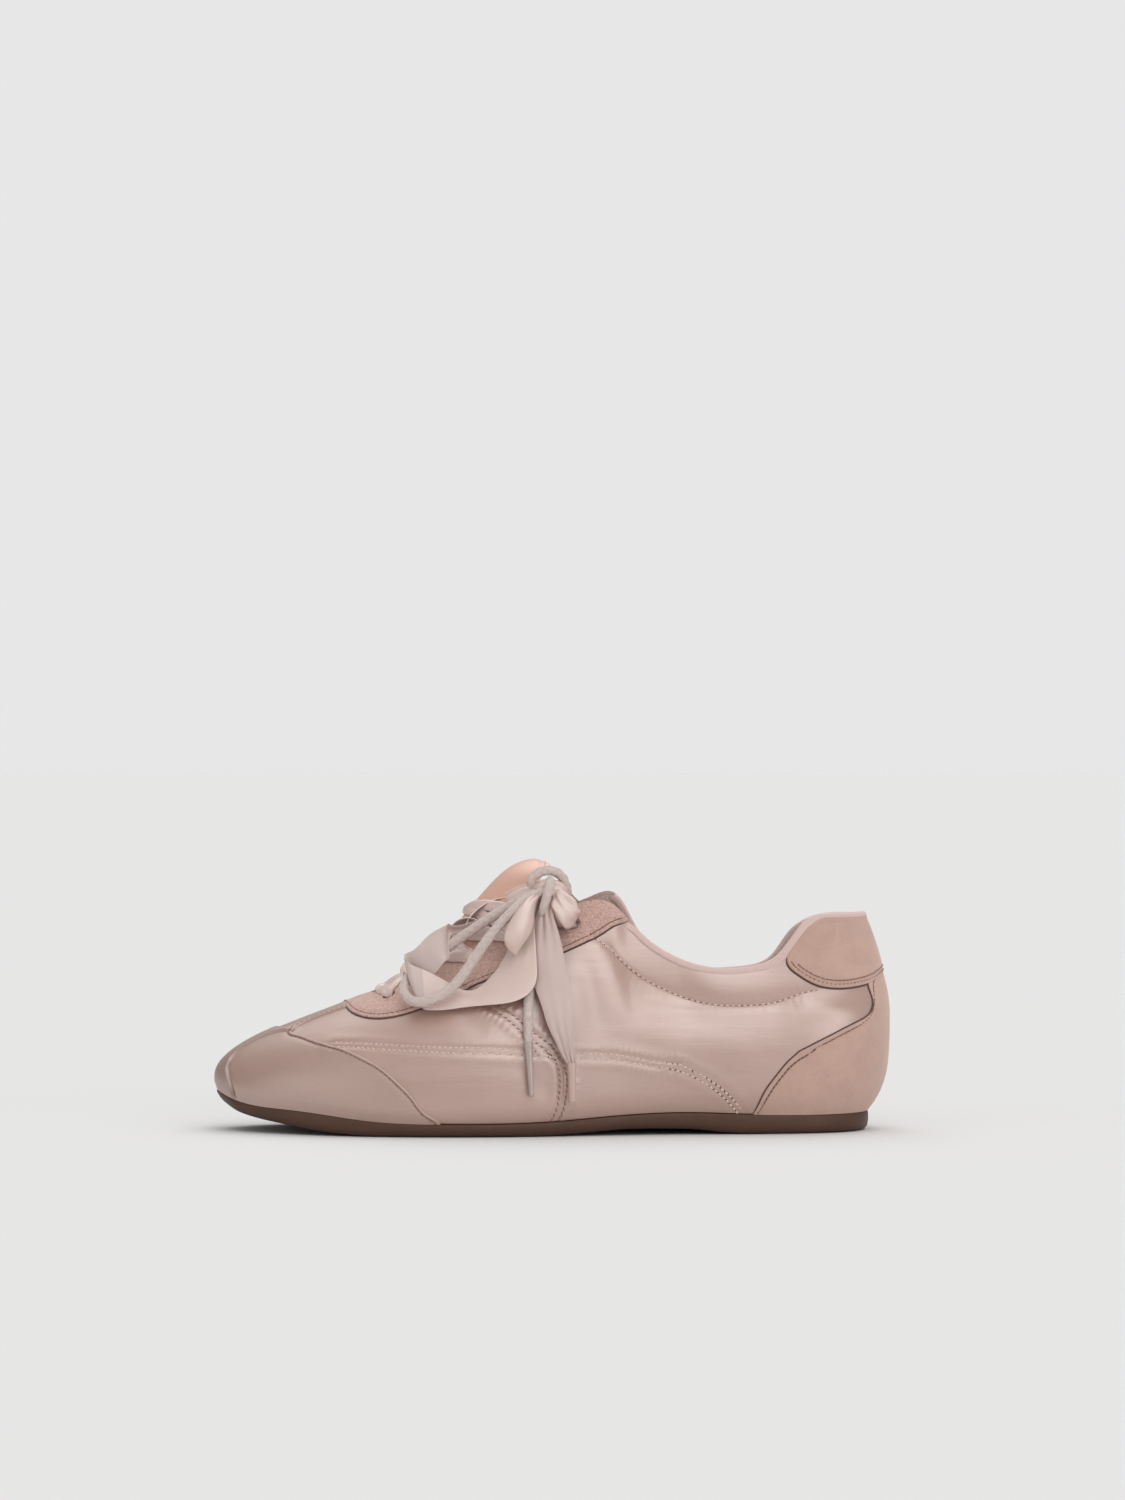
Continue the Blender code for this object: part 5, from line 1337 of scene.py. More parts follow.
def overlay(name, free, closing, mat, form, holes=(), grid=1.15, skirt=0.45, top_skirt=None, rings=(0.22, 0.5, 0.85, 1.3, 1.9, 2.6),
            edge_shadow_mat=None, strip_shade_mat=None, lines=()):
    """A cut panel laid on the shell.

    free holds the chart lines of its cut edges, in order round the panel; closing the
    lines that join them (at the sole or the top line).  form(d) is its height at a
    distance from a cut edge.  lines are extra rows of points where the form has a step."""
    pieces_in_order = sorted(free + closing, key=lambda item: item[0])
    chart, tag = [], []
    for order, line, cut in pieces_in_order:
        line = np.asarray(line, float)
        chart.append(line[:-1])
        tag += [cut] * (len(line) - 1)
    chart = np.concatenate(chart)
    tag = np.array(tag)
    edge = last.at(chart[:, 0], chart[:, 1])
    gap = np.linalg.norm(np.roll(edge, -1, 0) - edge, axis=1)
    keep = gap > 0.05
    chart, tag, edge = chart[keep], tag[keep], edge[keep]
    scale_t = 70.0

    def flat(c):
        return np.stack([c[:, 0], c[:, 1] * scale_t], 1)
    poly = flat(chart)
    area = 0.5 * np.sum(poly[:, 0] * np.roll(poly[:, 1], -1) - np.roll(poly[:, 0], -1) * poly[:, 1])
    if area < 0:
        chart, tag, edge, poly = chart[::-1], tag[::-1], edge[::-1], poly[::-1]
    cuts = [edge[np.nonzero(tag == c)[0]] for c in sorted(set(tag)) if c > 0]
    # points in from the cut edge
    _, su, st, n = last.frame(chart[:, 0], chart[:, 1])
    run = unit(np.roll(edge, -1, 0) - np.roll(edge, 1, 0))
    inward = unit(np.cross(n, run))
    extra = []
    for r in rings:
        u, t = shift(chart[:, 0], chart[:, 1], inward, r)
        c = np.stack([u, t], 1)
        ok = inside(poly, flat(c)) & (tag > 0)
        c = c[ok]
        if len(c):
            d = nearest_line(last.at(c[:, 0], c[:, 1]), [edge])
            extra.append(c[d > 0.88 * r])
    lo, hi = chart.min(0), chart.max(0)
    us = np.arange(lo[0], hi[0], grid)
    ts = np.arange(lo[1], hi[1], grid / scale_t * 1.1)
    U, T = np.meshgrid(us, ts, indexing="ij")
    U = U + 0.5 * grid * (np.arange(len(ts)) % 2)[None]
    c = np.stack([U.ravel(), T.ravel()], 1)
    c = c[inside(poly, flat(c))]
    d = nearest_line(last.at(c[:, 0], c[:, 1]), [edge])
    c = c[d > (rings[-1] + 0.35 * grid if len(rings) else 0.4)]
    if len(lines):
        more = np.concatenate(lines)
        more = more[inside(poly, flat(more))]
        away = nearest_line(last.at(more[:, 0], more[:, 1]), [edge])
        more = more[away > 0.3]
        c = c[nearest_line(last.at(c[:, 0], c[:, 1]), [last.at(more[:, 0], more[:, 1])]) > 0.45]
        extra.append(more)
    ring_pts, hole_polys = [], []
    for hu, ht in holes:
        _, hsu, hst, hn = last.frame(hu, ht)
        e1 = unit(hst)
        e2 = np.cross(hn, e1)
        a = np.arange(36) / 36 * 2 * math.pi
        for k, rr in enumerate((EYELET_HOLE, EYELET_HOLE + 0.25, EYELET_HOLE + 0.6, EYELET_HOLE + 1.1)):
            d3 = np.cos(a)[:, None] * e1 + np.sin(a)[:, None] * e2
            u, t = shift(np.full(36, hu), np.full(36, ht), d3, rr)
            ring = np.stack([u, t], 1)
            if k == 0:
                hole_polys.append(ring)
            else:
                ring_pts.append(ring)
        away = np.linalg.norm(last.at(c[:, 0], c[:, 1]) - last.at(hu, ht), axis=1)
        c = c[away > EYELET_HOLE + 1.5]
    if len(c):
        extra.append(c)
    pts = np.concatenate([chart] + hole_polys + ring_pts + extra)
    edges = [(i, (i + 1) % len(chart)) for i in range(len(chart))]
    base = len(chart)
    for hp in hole_polys:
        edges += [(base + i, base + (i + 1) % len(hp)) for i in range(len(hp))]
        base += len(hp)
    fp = flat(pts)
    out_v, _, out_f, orig, _, _ = geometry.delaunay_2d_cdt([Vector(q) for q in fp], edges, [], 0, 1e-5)
    v = np.array([tuple(q) for q in out_v])
    tri = np.array([f for f in out_f if len(f) == 3])
    mid = v[tri].mean(axis=1)
    ok = inside(poly, mid)
    for hp in hole_polys:
        ok &= ~inside(flat(hp), mid)
    tri = tri[ok]
    a, b, cc = v[tri[:, 0]], v[tri[:, 1]], v[tri[:, 2]]
    cr = (b[:, 0] - a[:, 0]) * (cc[:, 1] - a[:, 1]) - (b[:, 1] - a[:, 1]) * (cc[:, 0] - a[:, 0])
    tri = tri[np.abs(cr) > 1e-7]
    cr = cr[np.abs(cr) > 1e-7]
    tri[cr < 0] = tri[cr < 0][:, ::-1]
    used = np.unique(tri)
    remap = -np.ones(len(v), int)
    remap[used] = np.arange(len(used))
    v, tri = v[used], remap[tri]
    u, t = v[:, 0], np.clip(v[:, 1] / scale_t, 0.0, 1.0)
    p, su, st, n = last.frame(u, t)
    d = nearest_line(p, cuts) if cuts else np.full(len(p), 50.0)
    for hu, ht in holes:
        d = np.minimum(d, np.maximum(np.linalg.norm(p - last.at(hu, ht), axis=1) - EYELET_HOLE, 0.0) + 0.02)
    h = form(d)
    lip = smooth(t, 0.985, 1.0) if top_skirt is not None else np.zeros(len(t))
    h = h * (1 - 0.25 * lip)
    body = p + n * (relief(u, t, p) + h)[:, None] + unit(st) * (0.35 * lip)[:, None]
    # open borders get a skirt down to the shell
    count = {}
    for f in tri:
        for x, y in ((f[0], f[1]), (f[1], f[2]), (f[2], f[0])):
            count[(x, y)] = count.get((x, y), 0) + 1
    border = [(x, y) for (x, y) in count if (y, x) not in count]
    rimv = sorted({x for e in border for x in e})
    index = {x: len(body) + i for i, x in enumerate(rimv)}
    rv = np.array(rimv)
    depth = np.where(t[rv] > 0.995, top_skirt if top_skirt is not None else skirt, skirt)
    low = body[rv] - n[rv] * (h[rv] + depth)[:, None]
    verts = np.concatenate([body, low])
    faces = [list(f) for f in tri] + [[y, x, index[x], index[y]] for x, y in border]
    s = Soup()
    uv = np.concatenate([np.stack([u, t * scale_t], 1), np.stack([u, t * scale_t], 1)[rv]])
    which = [0] * len(tri)
    # faces inside the toe strip take the strip material, satin darkened as painted shade
    if strip_shade_mat:
        mid_u, mid_t = u[tri].mean(1), t[tri].mean(1)
        _, row = station(mid_u)
        which = inside(STRIP_POLY, np.stack([row, mid_t], 1)).astype(int).tolist()
    # skirt faces take the edge material, a cut edge colour darkened as painted shadow under the panel's edge
    s.add(verts, faces, which + [1 if edge_shadow_mat else 0] * len(border), uv)
    return s.make(name, [mat] + [m for m in (edge_shadow_mat, strip_shade_mat) if m], sharp=55)


def level(t, u0, u1, step=0.8):
    n = max(2, int(abs(u1 - u0) / step))
    return np.stack([np.linspace(u0, u1, n + 1), np.full(n + 1, float(t))], 1)


def folded(height):
    """A turned edge: a bead along it, a sunk row for the stitching, then the flat panel."""
    def form(d):
        bead = height * (0.55 + 0.62 * np.sqrt(np.clip(d / 0.38, 0, 1)))
        return bead * (1 - smooth(d, 0.75, 1.35)) + height * (0.62 + 0.38 * smooth(d, 1.5, 3.0)) * smooth(d, 0.75, 1.35)
    return form


def raw(height, row=2.0):
    """A cut suede edge, a little rounded, pulled down where it is sewn."""
    def form(d):
        return height * ((0.66 + 0.34 * np.sqrt(np.clip(d / 0.55, 0, 1))) - 0.26 * np.exp(-((d - row) / 0.55) ** 2))
    return form


cap_line = chart_line(TOE_EDGE, across="toe", step=0.7, sigma=1.3)
strip_rows = []
for side in (-1, 1):
    base_row = seam_strip[side].chart[::2]
    base_row = base_row - (np.array([LOOP_U, 0.0]) if side > 0 else 0.0)
    q, _, _, qn = last.frame(base_row[:, 0], base_row[:, 1])
    across_row = unit(np.cross(qn, unit(np.gradient(q, axis=0))))
    for away in (-1.5, -1.1, -0.8, -0.55, -0.35, -0.15, 0.0, 0.15, 0.3, 0.45, 0.7, 1.1):
        strip_rows.append(np.stack(shift(base_row[:, 0], base_row[:, 1], across_row, away), 1))
        strip_rows.append(np.stack(shift(base_row[:, 0], base_row[:, 1], across_row, -away), 1))
toe_cap = overlay("toe_cap", [(0, cap_line, 1)], [(1, level(0.0, cap_line[-1, 0], cap_line[0, 0]), 0)], MAT_CAP, folded(0.62),
                  strip_shade_mat=MAT_STRIP_SHADE, lines=strip_rows)
stay_line = chart_line(EYESTAY, across="toe", step=0.7, sigma=2.4)
eyestay = overlay("eyestay", [(0, stay_line, 1)], [(1, level(1.0, stay_line[-1, 0], stay_line[0, 0]), 0)], MAT_SUEDE,
                  raw(0.85), holes=[(u if side < 0 else u - LOOP_U, t) for side, k, u, t in EYELET_SPOTS],
                  top_skirt=WALL + 0.15, grid=1.25, edge_shadow_mat=MAT_STAY_EDGE_SHADOW)
counter_line = chart_line(COUNTER, across="heel", step=0.7, sigma=2.2)
counter = overlay("heel_counter", [(0, counter_line, 1)], [(1, level(0.0, counter_line[-1, 0], counter_line[0, 0]), 0)],
                  MAT_SUEDE_SMOOTH, raw(0.62), edge_shadow_mat=MAT_CUT_EDGE_SHADOW)
tab_low = chart_line(TAB_LOWER, across="heel", step=0.7, sigma=1.8)
tab_up = chart_line(TAB_UPPER, across="heel", step=0.7, sigma=1.8)[::-1]
heel_tab = overlay("heel_tab", [(0, tab_low, 1), (1, tab_up, 2)], [], MAT_SUEDE_SMOOTH, raw(0.90), edge_shadow_mat=MAT_CUT_EDGE_SHADOW)
for piece in (shell, toe_cap, eyestay, counter, heel_tab):
    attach(piece, "root")
    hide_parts("upper")


# ------------------------------------------------------------------ stitching
def offset_line(chart, distance):
    """The chart line moved sideways on the surface; positive is to the left of its run, seen from outside."""
    p, su, st, n = last.frame(chart[:, 0], chart[:, 1])
    run = unit(np.gradient(p, axis=0))
    u, t = shift(chart[:, 0], chart[:, 1], unit(np.cross(n, run)), distance)
    moved = np.stack([u, t], 1)
    # leave out the points that fold back on the inside of a bend
    q = last.at(u, t)
    keep = [0]
    for i in range(1, len(q)):
        if (q[i] - q[keep[-1]]) @ run[i] > 0.12:
            keep.append(i)
    return moved[keep]


def sew(soup, chart, pitch=2.05, length=1.5, radius=0.26, lift=0.0, slant=0.0, start=0.0, stop=None, clear=0.0, phase=0.0,
        mat=0, hole=(0.34, 0.31), hole_lift=0.035):
    """Small raised stitches along a chart line, each with a dark disc at its ends painted as the shade in its needle
    holes.
    """
    body, _, _, n = skin(chart[:, 0], chart[:, 1])
    p = body + n * lift
    s = along(p)
    stop = s[-1] if stop is None else stop
    at = np.arange(start + 0.5 * pitch + phase, stop, pitch)
    centre = np.stack([np.interp(at, s, p[:, i]) for i in range(3)], 1)
    normal = unit(np.stack([np.interp(at, s, n[:, i]) for i in range(3)], 1))
    ahead = np.stack([np.interp(np.minimum(at + 0.6, s[-1]), s, p[:, i]) for i in range(3)], 1)
    back = np.stack([np.interp(np.maximum(at - 0.6, 0), s, p[:, i]) for i in range(3)], 1)
    run = unit(ahead - back)
    for c, nn, r in zip(centre, normal, run):
        if clear and np.min(np.linalg.norm(EYELET_POINTS - c, axis=1)) < clear:
            continue
        side = np.cross(nn, r)
        jitter = 0.10 * noise.noise(Vector(c * 0.9))
        d = unit(r * math.cos(math.radians(slant) + jitter) + side * math.sin(math.radians(slant) + jitter))
        w = np.cross(nn, d)
        long = length * (1 + 0.5 * jitter)
        rings = []
        for q, up, rad in ((-0.5, -0.20, 0.60), (-0.36, 0.10, 0.95), (0.0, 0.19, 1.05), (0.36, 0.10, 0.95), (0.5, -0.20, 0.60)):
            m = c + d * (q * long) + nn * up
            rings.append([m + (w * math.cos(a) + nn * math.sin(a)) * radius * rad for a in np.arange(6) / 6 * 2 * math.pi])
        soup.add(np.array(rings), grid_faces(5, 6, wrap_v=True, flip=True), mat)
        # dark discs painted as the shade in the needle holes
        for q in (-0.5, 0.5):
            m = c + d * (q * (long + 0.10)) + nn * hole_lift
            ring = [m + (d * math.cos(a) * hole[0] + w * math.sin(a) * hole[1]) for a in np.arange(7) / 7 * 2 * math.pi]
            soup.add(ring, [range(7)], 1)


def painted_gap_shadow(soup, chart, radius, lift=0.12, start=0.0, stop=1.0):
    """A thin dark tube painted as the shadow line under a cut edge, where the panel stands off the cloth under it."""
    body, _, _, n = skin(chart[:, 0], chart[:, 1])
    p = body + n * lift
    run = unit(np.gradient(p, axis=0))
    w = unit(np.cross(n, run))
    s = along(p)
    share = s / s[-1]
    rad = radius * smooth(share, start, start + 0.03) * (1 - smooth(share, stop - 0.03, stop)) + 0.04
    rings = [[q + (ww * math.cos(a) + nn * 0.8 * math.sin(a)) * r for a in np.arange(6) / 6 * 2 * math.pi]
             for q, ww, nn, r in zip(p, w, n, rad)]
    soup.add(np.array(rings), grid_faces(len(p), 6, wrap_v=True, flip=True), 1)


soup = Soup()
for side in (-1, 1):
    flip = 1 if side < 0 else -1
    first, across_seam = seam_horizontal[side].chart, seam_diagonal[side].chart
    h0 = eased(first[::4], 1.0, 6.0)
    for off in (1.0, -1.0):
        sew(soup, eased(offset_line(h0, off), 1.0, 3.0), slant=flip * (14 if off > 0 else -14), phase=0.5 if off > 0 else 0.0)
    d0 = across_seam[::4]
    for off in (1.35, -1.35):
        sew(soup, offset_line(d0, off), pitch=2.2, length=1.9, radius=0.30, slant=flip * 24, phase=0.6 if off > 0 else 0.0,
            mat=2, hole=(0.44, 0.36))
    sew(soup, seam_collar[side].chart[::4], pitch=2.25, length=1.45, lift=0.10, start=3.0)
# painted shade: the toe cap's stitches take the dark thread for their shadow along the folded edge
sew(soup, offset_line(cap_line, 1.15), hole=(0.44, 0.36), mat=2, lift=0.46, start=1.0, stop=along(last.at(cap_line[:, 0], cap_line[:, 1]))[-1] - 1.0)
sew(soup, offset_line(eased(stay_line, 0.7, 2.0), -1.5), 1.85, 0.95, 0.25, lift=0.72, start=2.2, hole=(0.38, 0.34),
    stop=along(last.at(stay_line[:, 0], stay_line[:, 1]))[-1] - 2.2, mat=2)
counter_rows = eased(counter_line, 0.7, 3.0)
# painted shadow lines along the cut edges of the counter, the heel tab and the eyestay
painted_gap_shadow(soup, offset_line(counter_line, 0.20), 0.34)
painted_gap_shadow(soup, offset_line(tab_low, -0.20), 0.42)
painted_gap_shadow(soup, offset_line(stay_line, 0.20), 0.34)
sew(soup, eased(offset_line(counter_rows, -1.4), 1.0, 5.0), 1.75, 0.90, 0.25, lift=0.54, start=0.5, hole=(0.42, 0.36), mat=2)
tab_rows = eased(tab_low, 0.7, 2.0)
sew(soup, offset_line(tab_rows, 1.2), 1.75, 0.85, 0.24, lift=0.77, start=2.2, hole=(0.42, 0.36), mat=2)
sew(soup, offset_line(tab_rows, 2.7), 1.75, 0.85, 0.24, lift=0.82, start=2.8, phase=0.8, mat=2)
stitching = soup.make("stitching", [MAT_THREAD, MAT_HOLE_SHADE, MAT_THREAD_BROWN_AND_SHADE])
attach(stitching, "root")


# ------------------------------------------------------------------ knit binding of the collar
def collar_binding():
    n = last.count - 1
    u0, u1 = float(last.u_of(-1, BINDING_FROM)), float(last.u_of(1, MEDIAL_BINDING_FROM))
    steps = 300
    us = np.linspace(u0, u1, steps + 1)
    p, su, st, nn = last.frame(us, np.ones(steps + 1))
    top = p + nn * relief(us, np.ones(steps + 1), p)[:, None]
    run = unit(np.gradient(top, axis=0))
    up = unit(np.cross(run, nn))
    up *= np.where((up * unit(st)).sum(1) > 0, 1.0, -1.0)[:, None]
    row = station(us)[1]
    wide = 1.9 + 1.5 * smooth(row, 15.8, 17.3) - 2.1 * smooth(row, 18.2, 19.8)
    first = np.where(us <= HEEL_U, BINDING_FROM, MEDIAL_BINDING_FROM)
    ends = smooth(row, first, first + 0.5)
    over_tab = smooth(row, 16.2, 17.6)
    # a section that laps over the rim: down the outside, over, down the inside
    section = []
    for a in np.arange(28) / 28 * 2 * math.pi:
        c, s = math.cos(a), math.sin(a)
        section.append((abs(c) ** 0.75 * (1 if c > 0 else -1), abs(s) ** 0.62 * (1 if s > 0 else -1)))
    s_along = along(top)
    rings = []
    for i in range(steps + 1):
        w = wide[i]
        half = 0.5 * (w + 1.0)
        mid = top[i] - nn[i] * (0.5 * WALL) + up[i] * (0.75 * ends[i] - half)
        ring = []
        for c, s in section:
            thick = (0.5 * WALL + (0.62 + 0.40 * over_tab[i]) * (0.55 + 0.45 * ends[i])) * (1.0 if s > 0 else 1.05)
            wobble = 0.05 * math.sin(s_along[i] * 1.9 + 3 * s) + 0.04 * math.sin(s_along[i] * 0.7)
            ring.append(mid + nn[i] * (c * (thick + wobble)) + up[i] * (s * half))
        rings.append(ring)
    soup = Soup()
    uv = np.stack(np.broadcast_arrays(np.arange(28)[None] * 0.5, s_along[:, None]), -1)
    soup.add(np.array(rings), grid_faces(steps + 1, 28, wrap_v=True), 0, uv)
    for e, rev in ((0, True), (steps, False)):
        ring = [e * 28 + k for k in range(28)]
        soup.f.append(ring[::-1] if rev else ring)
        soup.m.append(0)
    return soup.make("collar_binding", [MAT_BINDING])


binding = collar_binding()
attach(binding, "root")
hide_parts("upper")


# ------------------------------------------------------------------ tongue
def tongue_frame():
    x = column(TONGUE, TONGUE_COLUMNS, "ridge_x")
    z = column(TONGUE, TONGUE_COLUMNS, "ridge_z")
    step = np.r_[0.0, np.cumsum(np.hypot(np.diff(x), np.diff(z)))]
    curve = open_spline(step, np.stack([x, z, column(TONGUE, TONGUE_COLUMNS, "radius"),
                                        column(TONGUE, TONGUE_COLUMNS, "half_angle")], 1))
    return curve, step[-1]


TONGUE_MID = 0.6
tongue_curve, tongue_length = tongue_frame()


def tongue_at(s, k, sink=0.0):
    """Point of the tongue at distance s along its ridge, share k (-1 lateral to 1 medial) of its width."""
    s, k = np.broadcast_arrays(np.asarray(s, float), np.asarray(k, float))
    c = tongue_curve(s)
    d = unit((tongue_curve(np.minimum(s + 0.5, tongue_length)) - tongue_curve(np.maximum(s - 0.5, 0.0)))[..., :2])
    a = np.radians(c[..., 3]) * k
    r = c[..., 2] - sink
    drop = c[..., 2] - r * np.cos(a)
    return np.stack([c[..., 0] + d[..., 1] * drop, TONGUE_MID + r * np.sin(a), c[..., 1] - d[..., 0] * drop], -1)


def build_tongue():
    ns, nk = 120, 84
    s = np.linspace(0, tongue_length, ns)
    k = np.linspace(-1, 1, nk)
    S, K = np.meshgrid(s, k, indexing="ij")
    mid = tongue_at(S, K, 0.5 * TONGUE_THICK)
    du, dv = np.gradient(mid, axis=0), np.gradient(mid, axis=1)
    n = unit(np.cross(dv, du))
    n *= np.sign((n * (tongue_at(S, K, 0.0) - mid)).sum(-1))[..., None]
    half_w = tongue_curve(s)[:, 2] * np.radians(tongue_curve(s)[:, 3])
    from_side = (1 - np.abs(K)) * half_w[:, None]
    from_top = tongue_length - S
    d = np.minimum(from_side, from_top)
    half = 0.5 * TONGUE_THICK * np.sqrt(np.clip(1 - (1 - np.clip(d / 1.6, 0, 1)) ** 2, 0.02, 1))
    pad = 0.55 * smooth(d, 1.5, 6.0) - 0.55 * np.exp(-((d - 2.6) / 0.7) ** 2)
    w = wander(mid.reshape(-1, 3), 14.0, 7.0).reshape(d.shape) * 0.25
    front = mid + n * (half + pad * 0.8 + w * smooth(d, 1, 4))[..., None]
    back = mid - n * (half + 0.2 * pad)[..., None]
    soup = Soup()
    f = grid_faces(ns, nk)
    uv = np.stack([K * 20, S], -1)
    a = soup.add(front, f[:, ::-1], 0, uv)
    b = soup.add(back, f, 1, uv)

    def rail(ids):
        for i, j in zip(ids[:-1], ids[1:]):
            soup.f.append([a + j, a + i, b + i, b + j])
            soup.m.append(0)
    rail([i * nk for i in range(ns)][::-1])
    rail([i * nk + nk - 1 for i in range(ns)])
    rail(list(range(nk)))
    rail([(ns - 1) * nk + j for j in range(nk)][::-1])
    # light piping round the free edge
    s0 = 0.30 * tongue_length
    left = [(q, -1.0) for q in np.linspace(s0, tongue_length, 60)]
    over = [(tongue_length, q) for q in np.linspace(-1, 1, 26)[1:-1]]
    right = [(q, 1.0) for q in np.linspace(s0, tongue_length, 60)[::-1]]
    rim = np.array(left + over + right)
    line = tongue_at(rim[:, 0], rim[:, 1], 0.5 * TONGUE_THICK)
    line = smooth_line(line[::3].tolist() + [line[-1].tolist()], step=0.8)
    ups = parallel_ups(line, (0, -0.2, 1))
    run, side, up = sweep_frames(line, ups)
    ang = np.arange(12) / 12 * 2 * math.pi
    rr = 1.15
    ring = line[:, None, :] + side[:, None, :] * (np.cos(ang) * rr)[None, :, None] + up[:, None, :] * (np.sin(ang) * rr)[None, :, None]
    base = soup.add(ring, grid_faces(len(line), 12, wrap_v=True, flip=True), 2)
    for e, rev in ((0, False), (len(line) - 1, True)):
        ids = [base + e * 12 + i for i in range(12)]
        soup.f.append(ids[::-1] if rev else ids)
        soup.m.append(2)
    return soup.make("tongue_pad", [MAT_TONGUE, MAT_LINING, MAT_PIPING])


tongue_piece = build_tongue()
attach(tongue_piece, "root")
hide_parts("tongue")


# ------------------------------------------------------------------ sole and insole
def plan_points(offset, count):
    """Feather line moved outwards in plan, evenly spaced round the loop: lateral side first, toe to heel."""
    us = np.concatenate([np.linspace(0, HEEL_U, count + 1), np.linspace(HEEL_U, LOOP_U, count + 1)[1:-1]])
    c = last.curve(us)
    n = last._out(us, 0, 1)
    return np.stack([c[:, 0] + n[:, 0] * offset, c[:, 1] + n[:, 1] * offset], 1)


def moulded(name, edge, z_of, mats, count=260, rungs=22, crown=None, attribute=None):
    """A closed slab between stacked loops: edge is a list of (outward offset, key) from the top round to the bottom."""
    loops = []
    for out, key in edge:
        xy = plan_points(out, count)
        loops.append(np.stack([xy[:, 0], xy[:, 1], z_of(xy, key)], 1))
    n = 2 * count
    soup = Soup()
    base = soup.add(np.concatenate(loops), [], 0)
    f = []
    for k in range(len(loops) - 1):
        for i in range(n):
            j = (i + 1) % n
            f.append([base + k * n + j, base + k * n + i, base + (k + 1) * n + i, base + (k + 1) * n + j])
    soup.f += f
    soup.m += [0] * len(f)
    # low runs from 0 at the top loop to 1 at the bottom; the rubber darkens along it as painted shade
    low = np.concatenate([np.full(n, k / (len(loops) - 1)) for k in range(len(loops))])
    extra = []
    for which, flip in ((0, False), (len(loops) - 1, True)):
        ring = loops[which]
        rows_idx = []
        for i in range(count + 1):
            a_id, b_id = which * n + i, which * n + (n - i) % n
            if i in (0, count):
                rows_idx.append([base + a_id])
                continue
            a, b = ring[i], ring[(n - i) % n]
            q = np.linspace(0, 1, rungs + 1)[1:-1]
            pts = a[None] * (1 - q[:, None]) + b[None] * q[:, None]
            if crown:
                pts = crown(which, pts, q)
            start = soup.add(pts, [], 0)
            extra.append(np.full(len(pts), float(which > 0)))
            rows_idx.append([base + a_id] + [start + k for k in range(len(pts))] + [base + b_id])
        for ra, rb in zip(rows_idx[:-1], rows_idx[1:]):
            if len(ra) == 1:
                quads = [[ra[0], rb[k], rb[k + 1]] for k in range(len(rb) - 1)]
            elif len(rb) == 1:
                quads = [[ra[k], rb[0], ra[k + 1]] for k in range(len(ra) - 1)]
            else:
                quads = [[ra[k], rb[k], rb[k + 1], ra[k + 1]] for k in range(len(ra) - 1)]
            mat = (len(mats) - 1) if which == 0 and len(mats) > 1 else 0
            for q in quads:
                soup.f.append(q[::-1] if flip else q)
                soup.m.append(mat)
    values = np.concatenate([low] + extra) if extra else low
    return soup.make(name, mats, [("low", values)] if attribute else [])


def heel_share(xy):
    return np.clip(xy[:, 0] - TOE_X, 0.0, SOLE_LENGTH)


def sole_z(xy, key):
    s = heel_share(xy)
    low, high = under_z(s), feather_z(s) - GAP
    kind, value = key
    if kind == "share":
        return low + 1.5 + (high - low - 1.5) * value
    return low + value


def tread(which, pts, q):
    if which == 0:
        return pts
    s = heel_share(pts[:, :2])
    deep = smooth(q, 0.10, 0.16) * smooth(1 - q, 0.10, 0.16)
    zone = np.maximum(smooth(s, 22, 30) * smooth(118 - s, 0, 8), smooth(s, 190, 196) * smooth(240 - s, 0, 6))
    rib = 0.5 + 0.5 * np.cos(2 * math.pi * (s + 5.0 * np.cos(2 * math.pi * q)) / 5.2)
    out = pts.copy()
    out[:, 2] += 0.45 * deep * zone * smooth(rib, 0.45, 0.7)
    return out


SOLE_EDGE = [(SOLE_PROUD - 1.2, ("share", 1.00)), (SOLE_PROUD - 0.28, ("share", 1.00)), (SOLE_PROUD - 0.08, ("share", 0.96)),
             (SOLE_PROUD + 0.06, ("share", 0.86)), (SOLE_PROUD + 0.14, ("share", 0.66)), (SOLE_PROUD + 0.15, ("share", 0.44)),
             (SOLE_PROUD + 0.05, ("share", 0.22)), (SOLE_PROUD - 0.16, ("share", 0.0)), (SOLE_PROUD - 0.5, ("rise", 0.95)),
             (SOLE_PROUD - 0.95, ("rise", 0.5)), (SOLE_PROUD - 1.6, ("rise", 0.18)), (SOLE_PROUD - 2.6, ("rise", 0.0))]
sole_piece = moulded("rubber_sole", SOLE_EDGE, sole_z, [MAT_RUBBER], crown=tread, attribute=True, count=250, rungs=26)
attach(sole_piece, "root")
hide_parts("outsole")

INSOLE_CLEAR = 2.6
insole_thick = pchip([0.0, 40.0, 110.0, 170.0, 247.7], [2.5, 3.5, 4.5, 6.5, 8.0])


def insole_z(xy, share):
    s = heel_share(xy)
    return feather_z(s) + 0.45 + insole_thick(s) * share


def dished(which, pts, q):
    out = pts.copy()
    if which == 0:
        out[:, 2] -= 1.1 * np.sin(math.pi * q) ** 0.8 + 0.12 * np.sin(pts[:, 0] * 0.15)
    return out


INSOLE_EDGE = [(-INSOLE_CLEAR - 2.4, 1.0), (-INSOLE_CLEAR - 1.0, 1.0), (-INSOLE_CLEAR - 0.45, 0.96), (-INSOLE_CLEAR - 0.1, 0.86),
               (-INSOLE_CLEAR, 0.72), (-INSOLE_CLEAR - 0.1, 0.45), (-INSOLE_CLEAR - 0.2, 0.18), (-INSOLE_CLEAR - 1.2, 0.0)]
insole_piece = moulded("padded_insole", INSOLE_EDGE, insole_z, [MAT_INSOLE], crown=dished, count=150, rungs=18)
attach(insole_piece, "root")
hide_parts("insole")


